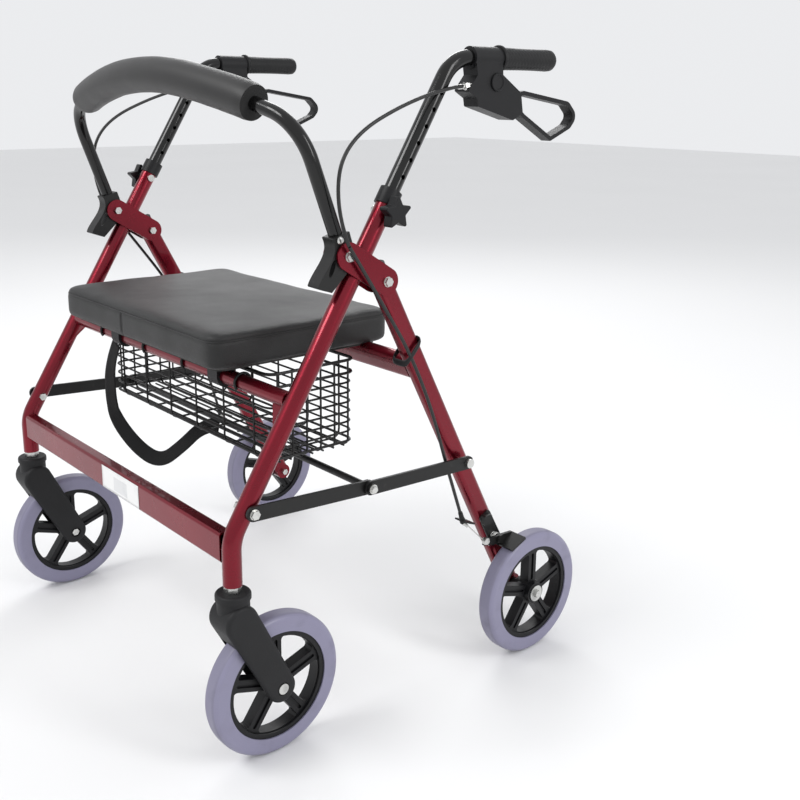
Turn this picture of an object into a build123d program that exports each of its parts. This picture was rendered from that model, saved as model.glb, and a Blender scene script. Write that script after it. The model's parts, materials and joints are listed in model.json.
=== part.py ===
from build123d import *
import math
import os

# Heavy-duty four-wheeled walker (rollator): steel tube frame, padded seat, backrest bar, basket.
# Millimetres. +Z up, the walker rolls towards -Y, +X is the user's left.
# Origin: on the floor, midway between the front and rear axles.

os.makedirs("parts", exist_ok=True)

# ---- Driving dimensions ----
WHEELBASE = 461.0
TRAIL = 58.0
LEG_X = 326.0
REAR_WHEEL_X = 367.0
WHEEL_R = 100.0
TYRE_WIDTH = 28.0
TYRE_INNER_R = 76.0

LEG_WALL = 1.5
HANDLE_R = 11.1
SLIDE_CLEARANCE = 0.1
LEG_R = HANDLE_R + SLIDE_CLEARANCE + LEG_WALL
LEG_FOOT_Z = 261.0
LEG_BEND_Z = 323.0
LEG_BEND_R = 60.0
LEG_ANGLE = 58.3
LEG_LENGTH = 492.0

HANDLE_Z = 918.0
HANDLE_BEND_R = 58.0
HANDLE_INSERTED = 230.0
HANDLE_END_Y = 275.0
HANDLE_WALL = 1.6
HOLE_PITCH = 25.4
HOLE_R = 3.2
HOLES_ABOVE = 7
HOLES_BELOW = 2
KNOB_AT = 466.0

PLATES_AT = 386.0
PLATE_FRONT = 29.5
PLATE_REAR = -46.0
PLATE_R = 18.5
PLATE_T = 3.0
PIVOT_R = 4.0
RUN_CLEARANCE = 0.05

REAR_TUBE_WIDE = 20.0
REAR_TUBE_DEEP = 30.0
REAR_TUBE_WALL = 1.8
REAR_LEG_ABOVE = 20.0
REAR_BAR_DOWN = 147.0
REAR_BAR_FORWARD = 3.0
BAR_TALL = 40.0
BAR_DEEP = 20.0
BAR_WALL = 1.8
LOWER_BAR_Z = 309.0

SEAT_BAR_Z = 484.0
SEAT_BAR_R = 11.1
SEAT_HALF = 233.0
SEAT_FRONT_GAP = 62.0
SEAT_DEPTH = 305.0
SEAT_BOTTOM_Z = 515.0
SEAT_BOARD_T = 12.0
SEAT_TOP_Z = 561.0
SEAT_CLIP_X = 150.0

BASKET_HALF = 240.0
BASKET_FRONT_GAP = 18.0
BASKET_DEPTH = 155.0
BASKET_BOTTOM_Z = 365.0
BASKET_TOP_Z = 499.0
BASKET_WALL = 4.0

BACK_TUBE_R = 9.5
BACK_PAD_R = 25.0
BACK_PAD_HALF = 242.0

LINK_R = 10.0
LINK_T = 4.0
LINK_GAP = 0.5
LINK_X = 343.0
ROD_R = 5.0
BRACE_AT = 41.0
BRACE_REAR_Z = 340.0
BRACE_SAG = 2.0

AXLE_R = 4.0
BEARING_R = 11.0
BEARING_W = 7.0
HUB_HALF = 17.0
FORK_HALF = 25.0
FORK_ARM_T = 6.0
CROWN_TOP_Z = 252.0
CROWN_R = 23.5
STEM_R = 6.0

GRIP_R = 16.0
GRIP_FLANGE_R = 19.0
GRIP_FRONT_Y = 164.5
GRIP_END_Y = 279.0
CABLE_R = 2.5

# ---- Places worked out from them (side view: y, z) ----
STEM_Y = -WHEELBASE / 2 - TRAIL
FRONT_AXLE = (-WHEELBASE / 2, WHEEL_R)
REAR_AXLE = (WHEELBASE / 2, WHEEL_R)
LEG_COS = math.cos(math.radians(LEG_ANGLE))
LEG_SIN = math.sin(math.radians(LEG_ANGLE))


def leg_at(along, out=0.0):
    """A side-view place on the sloping front leg: up the tube from its bend, then forward of it."""
    y = STEM_Y + along * LEG_COS - out * LEG_SIN
    z = LEG_BEND_Z + along * LEG_SIN + out * LEG_COS
    return (y, z)


FOLD_PIVOT = leg_at(PLATES_AT, PLATE_REAR)
BACK_PIVOT = leg_at(PLATES_AT, PLATE_FRONT)
REAR_LENGTH = math.dist(FOLD_PIVOT, REAR_AXLE)
REAR_DOWN = ((REAR_AXLE[0] - FOLD_PIVOT[0]) / REAR_LENGTH, (REAR_AXLE[1] - FOLD_PIVOT[1]) / REAR_LENGTH)
REAR_FRONT = (REAR_DOWN[1], -REAR_DOWN[0])


def rear_at(down, forward=0.0):
    """A side-view place on the rear leg: down the tube from the fold pivot, then forward of it."""
    y = FOLD_PIVOT[0] + down * REAR_DOWN[0] + forward * REAR_FRONT[0]
    z = FOLD_PIVOT[1] + down * REAR_DOWN[1] + forward * REAR_FRONT[1]
    return (y, z)


BRACE_FRONT = leg_at(BRACE_AT)
BRACE_REAR = rear_at((BRACE_REAR_Z - FOLD_PIVOT[1]) / REAR_DOWN[1])
BRACE_MID = ((BRACE_FRONT[0] + BRACE_REAR[0]) / 2, (BRACE_FRONT[1] + BRACE_REAR[1]) / 2 - BRACE_SAG)
SEAT_BAR_AT = (SEAT_BAR_Z - LEG_BEND_Z) / LEG_SIN
SEAT_BAR = leg_at(SEAT_BAR_AT)
SEAT_FRONT_Y = SEAT_BAR[0] - SEAT_FRONT_GAP
REAR_BAR = rear_at(REAR_BAR_DOWN, REAR_BAR_FORWARD)
LEG_PLANE = Plane.YZ.offset(LEG_X)


def at_x(x, place):
    """A 3-D point from a side-view place."""
    return (x, place[0], place[1])


def save(part, name):
    """Label one finished piece and write it out."""
    part.label = name
    export_step(part, f"parts/{name}.step")


def save_pair(part, name):
    """Write the left piece and its mirror image on the right."""
    with BuildPart() as other:
        mirror(part, about=Plane.YZ)
    save(part, f"{name}_left")
    save(other.part, f"{name}_right")


def disc(x0, x1, place, radius, mode=Mode.ADD):
    """A cylinder across the walker, from x0 to x1."""
    with BuildSketch(Plane.YZ.offset(x0)) as outline:
        with Locations(place):
            Circle(radius)
    extrude(outline.sketch, amount=x1 - x0, mode=mode)


def hexagon(x0, x1, place, across, mode=Mode.ADD):
    """A hexagonal head or nut, across the walker."""
    with BuildSketch(Plane.YZ.offset(x0)) as outline:
        with Locations(place):
            RegularPolygon(across / 2, 6, major_radius=False)
    extrude(outline.sketch, amount=x1 - x0, mode=mode)


def link_outline(start, end, radius):
    """A flat bar's outline, round at both ends."""
    middle = ((start[0] + end[0]) / 2, (start[1] + end[1]) / 2)
    turn = math.degrees(math.atan2(end[1] - start[1], end[0] - start[0]))
    with Locations(Location((middle[0], middle[1], 0), (0, 0, turn))):
        SlotCenterToCenter(math.dist(start, end), 2 * radius)


# ================= Front frame =================
with BuildPart() as front_leg:
    with BuildLine(LEG_PLANE) as leg_path:
        FilletPolyline((STEM_Y, LEG_FOOT_Z), (STEM_Y, LEG_BEND_Z), leg_at(LEG_LENGTH), radius=LEG_BEND_R)
    with BuildSketch(Plane.XY.offset(LEG_FOOT_Z)):
        with Locations((LEG_X, STEM_Y)):
            Circle(LEG_R)
            Circle(LEG_R - LEG_WALL, mode=Mode.SUBTRACT)
    sweep(path=leg_path.wire())
    disc(LEG_X - LEG_R - 2, LEG_X + LEG_R + 2, BRACE_FRONT, PIVOT_R, Mode.SUBTRACT)
    disc(LEG_X, LEG_X + LEG_R + 2, leg_at(KNOB_AT), HOLE_R, Mode.SUBTRACT)
save_pair(front_leg.part, "front_leg")

with BuildPart() as seat_crossbar:
    with BuildSketch(Plane.YZ):
        with Locations(SEAT_BAR):
            Circle(SEAT_BAR_R)
            Circle(SEAT_BAR_R - BAR_WALL, mode=Mode.SUBTRACT)
    extrude(amount=LEG_X - LEG_R + 1.5, both=True)
    with BuildSketch(Plane(origin=at_x(LEG_X, leg_at(0)), z_dir=(0, LEG_COS, LEG_SIN))):
        Circle(LEG_R)
    extrude(amount=LEG_LENGTH, mode=Mode.SUBTRACT)
    with BuildSketch(Plane(origin=at_x(-LEG_X, leg_at(0)), z_dir=(0, LEG_COS, LEG_SIN))):
        Circle(LEG_R)
    extrude(amount=LEG_LENGTH, mode=Mode.SUBTRACT)
save(seat_crossbar.part, "seat_crossbar")

LOWER_BAR_HALF = LEG_X - LEG_R
with BuildPart() as lower_crossbar:
    with BuildSketch(Plane.YZ):
        with Locations((STEM_Y, LOWER_BAR_Z)):
            RectangleRounded(BAR_DEEP, BAR_TALL, 4)
            RectangleRounded(BAR_DEEP - 2 * BAR_WALL, BAR_TALL - 2 * BAR_WALL, 2.5, mode=Mode.SUBTRACT)
    extrude(amount=LOWER_BAR_HALF, both=True)
save(lower_crossbar.part, "lower_crossbar")

# triangular plates under the ends of the seat crossbar, in the plane of the leg
GUSSET_DOWN = 46.0
GUSSET_IN = 26.0
GUSSET_T = 3.0
with BuildPart() as crossbar_gussets:
    with BuildSketch(Plane(origin=at_x(0, SEAT_BAR), x_dir=(1, 0, 0), z_dir=(0, -LEG_SIN, LEG_COS))):
        with BuildLine():
            Polyline(
                (LOWER_BAR_HALF, -SEAT_BAR_R),
                (LOWER_BAR_HALF, -GUSSET_DOWN),
                (LOWER_BAR_HALF - GUSSET_IN, -SEAT_BAR_R),
                close=True,
            )
        make_face()
    extrude(amount=GUSSET_T / 2, both=True)
    mirror(about=Plane.YZ)
save(crossbar_gussets.part, "crossbar_gussets")

# each side has an outer and an inner plate, welded to the leg tube
with BuildPart() as hinge_plates:
    for plate_x in (LEG_X + LEG_R, LEG_X - LEG_R - PLATE_T):
        with BuildSketch(Plane.YZ.offset(plate_x)):
            link_outline(BACK_PIVOT, FOLD_PIVOT, PLATE_R)
            with Locations(BACK_PIVOT, FOLD_PIVOT):
                Circle(PIVOT_R, mode=Mode.SUBTRACT)
        extrude(amount=PLATE_T)
    mirror(about=Plane.YZ)
save(hinge_plates.part, "hinge_plates")

# bushes on the leg tops, with a lip over the tube's end
COLLAR_R = 15.5
COLLAR_DOWN = 18.0
COLLAR_LIP = 4.0
LIP_CLEARANCE = 0.25
LEG_TOP_PLANE = Plane(origin=at_x(LEG_X, leg_at(LEG_LENGTH)), z_dir=(0, LEG_COS, LEG_SIN))
with BuildPart() as leg_collars:
    with BuildSketch(LEG_TOP_PLANE):
        Circle(COLLAR_R)
        Circle(LEG_R, mode=Mode.SUBTRACT)
    extrude(amount=-COLLAR_DOWN)
    with BuildSketch(LEG_TOP_PLANE):
        Circle(COLLAR_R)
        Circle(HANDLE_R + LIP_CLEARANCE, mode=Mode.SUBTRACT)
    extrude(amount=COLLAR_LIP)
    fillet(leg_collars.edges().filter_by(GeomType.CIRCLE).sort_by(Axis((0, 0, 0), (0, LEG_COS, LEG_SIN)))[-1], 1)
    mirror(about=Plane.YZ)
save(leg_collars.part, "leg_collars")

# zinc stems that plug the feet of the front legs: plug, hexagon, pin for the caster
STEM_HEX = 20.0
STEM_PIN_DOWN = 36.0
STEM_PLUG_UP = 36.0
with BuildPart() as caster_stems:
    with BuildSketch(Plane.XY.offset(LEG_FOOT_Z)):
        with Locations((LEG_X, STEM_Y)):
            Circle(LEG_R - LEG_WALL)
    extrude(amount=STEM_PLUG_UP)
    with BuildSketch(Plane.XY.offset(LEG_FOOT_Z)):
        with Locations((LEG_X, STEM_Y)):
            RegularPolygon(STEM_HEX / 2, 6, major_radius=False)
    extrude(amount=CROWN_TOP_Z + 0.4 - LEG_FOOT_Z)
    with BuildSketch(Plane.XY.offset(LEG_FOOT_Z)):
        with Locations((LEG_X, STEM_Y)):
            Circle(STEM_R)
    extrude(amount=CROWN_TOP_Z - STEM_PIN_DOWN - LEG_FOOT_Z)
    mirror(about=Plane.YZ)
save(caster_stems.part, "caster_stems")

# bolts and nuts of the front frame: backrest pivots, fold pivots, brace pivots, knob backing heads
HEAD_ACROSS = 11.0
HEAD_T = 5.0
WASHER_T = 1.2
PLATE_OUT_X = LEG_X + LEG_R + PLATE_T
PLATE_IN_X = LEG_X - LEG_R - PLATE_T
FRONT_LINK_OUT_X = LINK_X + LINK_T
with BuildPart() as pivot_bolts:
    for pivot in (BACK_PIVOT, FOLD_PIVOT):
        disc(PLATE_IN_X, PLATE_OUT_X, pivot, PIVOT_R)
        disc(PLATE_OUT_X, PLATE_OUT_X + WASHER_T, pivot, HEAD_ACROSS / 2 + 1.5)
        hexagon(PLATE_OUT_X + WASHER_T, PLATE_OUT_X + HEAD_T, pivot, HEAD_ACROSS)
        hexagon(PLATE_IN_X, PLATE_IN_X - HEAD_T, pivot, HEAD_ACROSS)
    disc(LEG_X - LEG_R, FRONT_LINK_OUT_X + 0.3, BRACE_FRONT, PIVOT_R)
    disc(FRONT_LINK_OUT_X + 0.3, FRONT_LINK_OUT_X + 0.3 + WASHER_T, BRACE_FRONT, HEAD_ACROSS / 2 + 1.5)
    hexagon(FRONT_LINK_OUT_X + 0.3 + WASHER_T, FRONT_LINK_OUT_X + 0.3 + HEAD_T, BRACE_FRONT, HEAD_ACROSS)
    hexagon(LEG_X - LEG_R, LEG_X - LEG_R - HEAD_T, BRACE_FRONT, HEAD_ACROSS)
    disc(LEG_X - LEG_R, LEG_X - LEG_R - 4, leg_at(KNOB_AT), 6)
    mirror(about=Plane.YZ)
save(pivot_bolts.part, "pivot_bolts")

# the wire basket, as a thin open box
BASKET_FRONT_Y = SEAT_BAR[0] + BASKET_FRONT_GAP
with BuildPart() as basket:
    with BuildSketch(Plane.XY.offset(BASKET_BOTTOM_Z)):
        with Locations((0, BASKET_FRONT_Y + BASKET_DEPTH / 2)):
            RectangleRounded(2 * BASKET_HALF, BASKET_DEPTH, 20)
    extrude(amount=BASKET_TOP_Z - BASKET_BOTTOM_Z)
    offset(amount=-BASKET_WALL, openings=basket.faces().sort_by(Axis.Z)[-1])
save(basket.part, "basket")

# webbing strap that lifts the brace rod when the seat bar is pulled: two runs round the bar and the rod
STRAP_X = -120.0
STRAP_W = 25.0
STRAP_T = 2.0
with BuildPart() as fold_strap:
    with BuildSketch(Plane.YZ.offset(STRAP_X)) as strap_edge:
        with BuildLine() as strap_path:
            Spline(
                (SEAT_BAR[0] - 3, SEAT_BAR[1] - SEAT_BAR_R - 2),
                (SEAT_BAR[0] + 1, 400),
                (BRACE_MID[0] - 70, 285),
                (BRACE_MID[0] - 6, BRACE_MID[1] - ROD_R - 4),
                tangents=((0, -1), (0.9, 0.43)),
            )
        trace(strap_path.line, STRAP_T)
    extrude(amount=STRAP_W / 2, both=True)
save(fold_strap.part, "fold_strap")

# ================= Rear frame =================
REAR_PLANE = Plane(origin=at_x(LEG_X, rear_at(0)), x_dir=(1, 0, 0), z_dir=(0, *REAR_DOWN))
with BuildPart() as rear_leg:
    with BuildSketch(REAR_PLANE.offset(-REAR_LEG_ABOVE)):
        RectangleRounded(REAR_TUBE_WIDE, REAR_TUBE_DEEP, 8)
    extrude(amount=REAR_LENGTH + REAR_LEG_ABOVE)
    disc(LEG_X - REAR_TUBE_WIDE / 2, LEG_X + REAR_TUBE_WIDE / 2, REAR_AXLE, REAR_TUBE_DEEP / 2)
    with BuildSketch(REAR_PLANE.offset(-REAR_LEG_ABOVE)):
        RectangleRounded(REAR_TUBE_WIDE - 2 * REAR_TUBE_WALL, REAR_TUBE_DEEP - 2 * REAR_TUBE_WALL, 6)
    extrude(amount=REAR_LENGTH + REAR_LEG_ABOVE - 22, mode=Mode.SUBTRACT)
    for place, radius in ((FOLD_PIVOT, PIVOT_R + RUN_CLEARANCE), (BRACE_REAR, PIVOT_R), (REAR_AXLE, AXLE_R)):
        disc(LEG_X - REAR_TUBE_WIDE, LEG_X + REAR_TUBE_WIDE, place, radius, Mode.SUBTRACT)
save_pair(rear_leg.part, "rear_leg")

REAR_BAR_HALF = LEG_X - REAR_TUBE_WIDE / 2
with BuildPart() as rear_crossbar:
    with BuildSketch(Plane(origin=at_x(0, REAR_BAR), x_dir=(0, *REAR_DOWN), z_dir=(1, 0, 0))):
        SlotOverall(BAR_TALL, BAR_DEEP)
        SlotOverall(BAR_TALL - 2 * BAR_WALL, BAR_DEEP - 2 * BAR_WALL, mode=Mode.SUBTRACT)
    extrude(amount=REAR_BAR_HALF, both=True)
save(rear_crossbar.part, "rear_crossbar")

# plugs in the tops of the rear legs
CAP_T = 3.0
CAP_PLUG = 9.0
with BuildPart() as leg_caps:
    with BuildSketch(REAR_PLANE.offset(-REAR_LEG_ABOVE)):
        RectangleRounded(REAR_TUBE_WIDE, REAR_TUBE_DEEP, 8)
    extrude(amount=-CAP_T)
    with BuildSketch(REAR_PLANE.offset(-REAR_LEG_ABOVE)):
        RectangleRounded(REAR_TUBE_WIDE - 2 * REAR_TUBE_WALL, REAR_TUBE_DEEP - 2 * REAR_TUBE_WALL, 6)
    extrude(amount=CAP_PLUG)
    mirror(about=Plane.YZ)
save(leg_caps.part, "leg_caps")

# rear axle bolts with their nuts and outer hub discs
REAR_LEG_OUT_X = LEG_X + REAR_TUBE_WIDE / 2
REAR_LEG_IN_X = LEG_X - REAR_TUBE_WIDE / 2
REAR_HUB_OUT_X = REAR_WHEEL_X + HUB_HALF
with BuildPart() as axle_bolts:
    disc(REAR_LEG_IN_X, REAR_HUB_OUT_X + 0.4, REAR_AXLE, AXLE_R)
    disc(REAR_HUB_OUT_X + 0.4, REAR_HUB_OUT_X + 2.4, REAR_AXLE, 13)
    hexagon(REAR_HUB_OUT_X + 2.4, REAR_HUB_OUT_X + 7, REAR_AXLE, HEAD_ACROSS)
    hexagon(REAR_LEG_IN_X, REAR_LEG_IN_X - 7, REAR_AXLE, HEAD_ACROSS)
    disc(REAR_LEG_IN_X, FRONT_LINK_OUT_X + LINK_T + LINK_GAP + 0.3, BRACE_REAR, PIVOT_R)
    disc(
        FRONT_LINK_OUT_X + LINK_T + LINK_GAP + 0.3,
        FRONT_LINK_OUT_X + LINK_T + LINK_GAP + 0.3 + HEAD_T,
        BRACE_REAR,
        HEAD_ACROSS / 2 + 1.5,
    )
    hexagon(REAR_LEG_IN_X, REAR_LEG_IN_X - HEAD_T, BRACE_REAR, HEAD_ACROSS)
    mirror(about=Plane.YZ)
save(axle_bolts.part, "axle_bolts")

SPACER_R = 9.0
with BuildPart() as axle_spacers:
    with BuildSketch(Plane.YZ.offset(REAR_LEG_OUT_X)):
        with Locations(REAR_AXLE):
            Circle(SPACER_R)
            Circle(AXLE_R, mode=Mode.SUBTRACT)
    extrude(amount=REAR_WHEEL_X - HUB_HALF - 0.4 - REAR_LEG_OUT_X)
    mirror(about=Plane.YZ)
save(axle_spacers.part, "axle_spacers")

# brake bracket: a plate on the outside of the leg, and a pin that carries the shoe arm
BRAKE_PIVOT = rear_at(REAR_LENGTH - 112, 2)
BRAKE_PLATE_T = 3.0
BRAKE_ARM_X = 348.0
BRAKE_ARM_T = 5.0
with BuildPart() as brake_brackets:
    with BuildSketch(Plane.YZ.offset(REAR_LEG_OUT_X)):
        with BuildLine():
            FilletPolyline(
                rear_at(REAR_LENGTH - 160, 12),
                rear_at(REAR_LENGTH - 160, -10),
                rear_at(REAR_LENGTH - 96, -12),
                rear_at(REAR_LENGTH - 96, 12),
                radius=5,
                close=True,
            )
        make_face()
    extrude(amount=BRAKE_PLATE_T)
    disc(REAR_LEG_OUT_X, BRAKE_ARM_X + BRAKE_ARM_T + 1, BRAKE_PIVOT, PIVOT_R)
    disc(BRAKE_ARM_X + BRAKE_ARM_T + 0.6, BRAKE_ARM_X + BRAKE_ARM_T + 4, BRAKE_PIVOT, 7)
    with BuildSketch(Plane.YZ.offset(REAR_LEG_OUT_X + BRAKE_PLATE_T)):
        with Locations(rear_at(REAR_LENGTH - 152, 4)):
            RectangleRounded(16, 16, 3)
    extrude(amount=BRAKE_ARM_X - REAR_LEG_OUT_X - BRAKE_PLATE_T - 1)
    mirror(about=Plane.YZ)
save(brake_brackets.part, "brake_brackets")

# brake arm: a flat L that presses a curved shoe on the tyre
SHOE_GAP = 1.5
SHOE_T = 4.0
SHOE_START = 104.0
SHOE_END = 122.0


def round_wheel(radius, degrees):
    """A side-view place around the rear wheel, from the rear horizontal, anticlockwise seen from +X."""
    turn = math.radians(degrees)
    return (REAR_AXLE[0] + radius * math.cos(turn), REAR_AXLE[1] + radius * math.sin(turn))


with BuildPart() as brake_arm:
    with BuildSketch(Plane.YZ.offset(BRAKE_ARM_X)):
        with BuildLine():
            Polyline(
                (BRAKE_PIVOT[0] - 7, BRAKE_PIVOT[1] + 6),
                round_wheel(WHEEL_R + SHOE_GAP + SHOE_T, SHOE_START),
                round_wheel(WHEEL_R + SHOE_GAP, SHOE_START),
                round_wheel(WHEEL_R + SHOE_GAP, SHOE_END),
                (BRAKE_PIVOT[0] - 8, BRAKE_PIVOT[1] - 7),
                (BRAKE_PIVOT[0] - 34, BRAKE_PIVOT[1] - 2),
                (BRAKE_PIVOT[0] - 34, BRAKE_PIVOT[1] + 7),
                close=True,
            )
        make_face()
        with Locations(BRAKE_PIVOT):
            Circle(PIVOT_R + RUN_CLEARANCE, mode=Mode.SUBTRACT)
    extrude(amount=BRAKE_ARM_T)
    with BuildSketch(Plane.YZ.offset(BRAKE_ARM_X)):
        with BuildLine():
            Polyline(
                round_wheel(WHEEL_R + SHOE_GAP, SHOE_START),
                round_wheel(WHEEL_R + SHOE_GAP + SHOE_T, SHOE_START),
                round_wheel(WHEEL_R + SHOE_GAP + SHOE_T, SHOE_END),
                round_wheel(WHEEL_R + SHOE_GAP, SHOE_END),
                close=True,
            )
        make_face()
    extrude(amount=REAR_WHEEL_X + TYRE_WIDTH / 2 - BRAKE_ARM_X)
save_pair(brake_arm.part, "brake_arm")

# ================= Brace links =================
ROD_HALF = LINK_X + 2 * LINK_T + LINK_GAP
with BuildPart() as front_links:
    with BuildSketch(Plane.YZ.offset(LINK_X)):
        link_outline(BRACE_FRONT, BRACE_MID, LINK_R)
        with Locations(BRACE_FRONT):
            Circle(PIVOT_R + RUN_CLEARANCE, mode=Mode.SUBTRACT)
        with Locations(BRACE_MID):
            Circle(ROD_R, mode=Mode.SUBTRACT)
    extrude(amount=LINK_T)
    mirror(about=Plane.YZ)
save(front_links.part, "front_links")

# the rod between the two sides, with a nut inside and a cap nut outside each link
with BuildPart() as brace_rod:
    with BuildSketch(Plane.YZ):
        with Locations(BRACE_MID):
            Circle(ROD_R)
    extrude(amount=LINK_X + LINK_T, both=True)
    hexagon(LINK_X, LINK_X - 6, BRACE_MID, 16)
    hexagon(-LINK_X, -LINK_X + 6, BRACE_MID, 16)
save(brace_rod.part, "brace_rod")

with BuildPart() as rear_links:
    with BuildSketch(Plane.YZ.offset(LINK_X + LINK_T + LINK_GAP)):
        link_outline(BRACE_REAR, BRACE_MID, LINK_R)
        with Locations(BRACE_REAR):
            Circle(PIVOT_R + RUN_CLEARANCE, mode=Mode.SUBTRACT)
    extrude(amount=LINK_T)
    disc(LINK_X + 2 * LINK_T + LINK_GAP, LINK_X + 2 * LINK_T + LINK_GAP + 4, BRACE_MID, 7.5)
    mirror(about=Plane.YZ)
save(rear_links.part, "rear_links")

# ================= Wheels =================
TREAD_ROUND = 8.0
RIM_WIDTH = 24.0
RIM_T = 8.0
HUB_R = 17.0
SPOKES = 5
SPOKE_W = 17.0
SPOKE_T = 17.0
GROOVE_W = 5.0
GROOVE_DEPTH = 3.0
WINDOW_ROUND = 5.0
RECESS_STEP = 1.5
WINDOW_R = TYRE_INNER_R - RIM_T
WINDOW_POINT = SPOKE_W / 2 / math.sin(math.pi / SPOKES)
WINDOW_TURN = 180 / SPOKES - math.degrees(math.asin(SPOKE_W / 2 / WINDOW_R))

# one window of the rim, between two spokes
with BuildSketch() as rim_window:
    with BuildLine():
        window_arc = CenterArc((0, 0), WINDOW_R, -WINDOW_TURN, 2 * WINDOW_TURN)
        Line(window_arc @ 1, (WINDOW_POINT, 0))
        Line((WINDOW_POINT, 0), window_arc @ 0)
    make_face()
    fillet(rim_window.vertices(), WINDOW_ROUND)


def wheel(centre_x, place, name):
    """One wheel: soft tyre, five-spoke rim and two ball bearings."""
    middle = at_x(centre_x, place)
    section = Plane(origin=middle, x_dir=(1, 0, 0), z_dir=(0, -1, 0))
    side = Plane(origin=middle, x_dir=(0, 1, 0), z_dir=(1, 0, 0))
    axis = Axis(middle, (1, 0, 0))
    with BuildPart() as tyre:
        with BuildSketch(section) as tread:
            with Locations((0, (TYRE_INNER_R + WHEEL_R) / 2)):
                Rectangle(TYRE_WIDTH, WHEEL_R - TYRE_INNER_R)
            fillet(tread.vertices().sort_by(Axis.Y)[-2:], TREAD_ROUND)
        revolve(axis=axis)
    with BuildPart() as rim:
        with BuildSketch(side):
            Circle(TYRE_INNER_R)
        extrude(amount=RIM_WIDTH / 2, both=True)
        with BuildSketch(side):
            for spoke in range(SPOKES):
                with Locations(Location((0, 0, 0), (0, 0, 90 + (spoke + 0.5) * 360 / SPOKES))):
                    add(rim_window.sketch)
        extrude(amount=RIM_WIDTH / 2 + 1, both=True, mode=Mode.SUBTRACT)
        with BuildSketch(side.offset(RIM_WIDTH / 2), side.offset(-SPOKE_T / 2)):
            Circle(WINDOW_R + RECESS_STEP)
            Circle(HUB_R, mode=Mode.SUBTRACT)
        extrude(amount=-(RIM_WIDTH - SPOKE_T) / 2, mode=Mode.SUBTRACT)
        with BuildSketch(side.offset(SPOKE_T / 2), side.offset(-SPOKE_T / 2 + GROOVE_DEPTH)):
            with PolarLocations((HUB_R + WINDOW_R) / 2, SPOKES, start_angle=90):
                SlotOverall(WINDOW_R - HUB_R - 6, GROOVE_W)
        extrude(amount=-GROOVE_DEPTH, mode=Mode.SUBTRACT)
        with BuildSketch(side):
            Circle(HUB_R)
        extrude(amount=HUB_HALF, both=True)
        with BuildSketch(side.offset(-HUB_HALF)):
            Circle(AXLE_R + 1.5)
        extrude(amount=2 * HUB_HALF, mode=Mode.SUBTRACT)
        with BuildSketch(side.offset(HUB_HALF), side.offset(-HUB_HALF + BEARING_W)):
            Circle(BEARING_R)
        extrude(amount=-BEARING_W, mode=Mode.SUBTRACT)
    with BuildPart() as bearings:
        with BuildSketch(side.offset(HUB_HALF), side.offset(-HUB_HALF + BEARING_W)):
            Circle(BEARING_R)
            Circle(AXLE_R + RUN_CLEARANCE, mode=Mode.SUBTRACT)
        extrude(amount=-BEARING_W)
    save_pair(tyre.part, f"{name}_tyre")
    save_pair(rim.part, f"{name}_rim")
    save_pair(bearings.part, f"{name}_bearings")


wheel(REAR_WHEEL_X, REAR_AXLE, "rear")
wheel(LEG_X, FRONT_AXLE, "caster")

# ================= Casters =================
AXLE_EYE_R = 21.0
SHOULDER_R = 24.0
SHOULDER_Z = 214.0
NECK_R = 21.5
CAP_RING_T = 9.0
with BuildPart() as caster_fork:
    with BuildSketch(Plane.YZ.offset(LEG_X)):
        with BuildLine():
            CenterArc((STEM_Y, SHOULDER_Z), SHOULDER_R, 0, 360)
            CenterArc(FRONT_AXLE, AXLE_EYE_R, 0, 360)
        make_hull()
    extrude(amount=FORK_HALF, both=True)
    fillet(caster_fork.faces().filter_by(Axis.X).edges(), 6)
    with BuildSketch(Plane.XY.offset(SHOULDER_Z)):
        with Locations((LEG_X, STEM_Y)):
            Circle(NECK_R)
    extrude(amount=CROWN_TOP_Z - CAP_RING_T - SHOULDER_Z)
    with BuildSketch(Plane.XY.offset(CROWN_TOP_Z - CAP_RING_T)):
        with Locations((LEG_X, STEM_Y)):
            Circle(CROWN_R)
    extrude(amount=CAP_RING_T)
    fillet(caster_fork.faces().sort_by(Axis.Z)[-1].edges(), 4)
    with BuildSketch(Plane.YZ.offset(LEG_X)):
        with Locations(FRONT_AXLE):
            Circle(WHEEL_R + 5)
    extrude(amount=FORK_HALF - FORK_ARM_T, both=True, mode=Mode.SUBTRACT)
    disc(LEG_X - FORK_HALF - 1, LEG_X + FORK_HALF + 1, FRONT_AXLE, AXLE_R, Mode.SUBTRACT)
    disc(LEG_X + FORK_HALF - 3, LEG_X + FORK_HALF + 1, FRONT_AXLE, 9, Mode.SUBTRACT)
    disc(LEG_X - FORK_HALF + 3, LEG_X - FORK_HALF - 1, FRONT_AXLE, 9, Mode.SUBTRACT)
    with BuildSketch(Plane.XY.offset(CROWN_TOP_Z)):
        with Locations((LEG_X, STEM_Y)):
            Circle(STEM_R + RUN_CLEARANCE)
    extrude(amount=-STEM_PIN_DOWN - 20, mode=Mode.SUBTRACT)
save_pair(caster_fork.part, "caster_fork")

with BuildPart() as caster_axle:
    disc(LEG_X - FORK_HALF + 3, LEG_X + FORK_HALF - 3, FRONT_AXLE, AXLE_R)
    disc(LEG_X + FORK_HALF - 3, LEG_X + FORK_HALF + 0.5, FRONT_AXLE, 7.5)
    hexagon(LEG_X - FORK_HALF + 3, LEG_X - FORK_HALF - 0.5, FRONT_AXLE, HEAD_ACROSS)
save_pair(caster_axle.part, "caster_axle")

# ================= Seat =================
with BuildPart() as seat_board:
    with BuildSketch(Plane.XY.offset(SEAT_BOTTOM_Z)):
        with Locations((0, SEAT_FRONT_Y + SEAT_DEPTH / 2)):
            RectangleRounded(2 * SEAT_HALF - 6, SEAT_DEPTH - 6, 22)
    extrude(amount=SEAT_BOARD_T)
save(seat_board.part, "seat_board")

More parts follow.
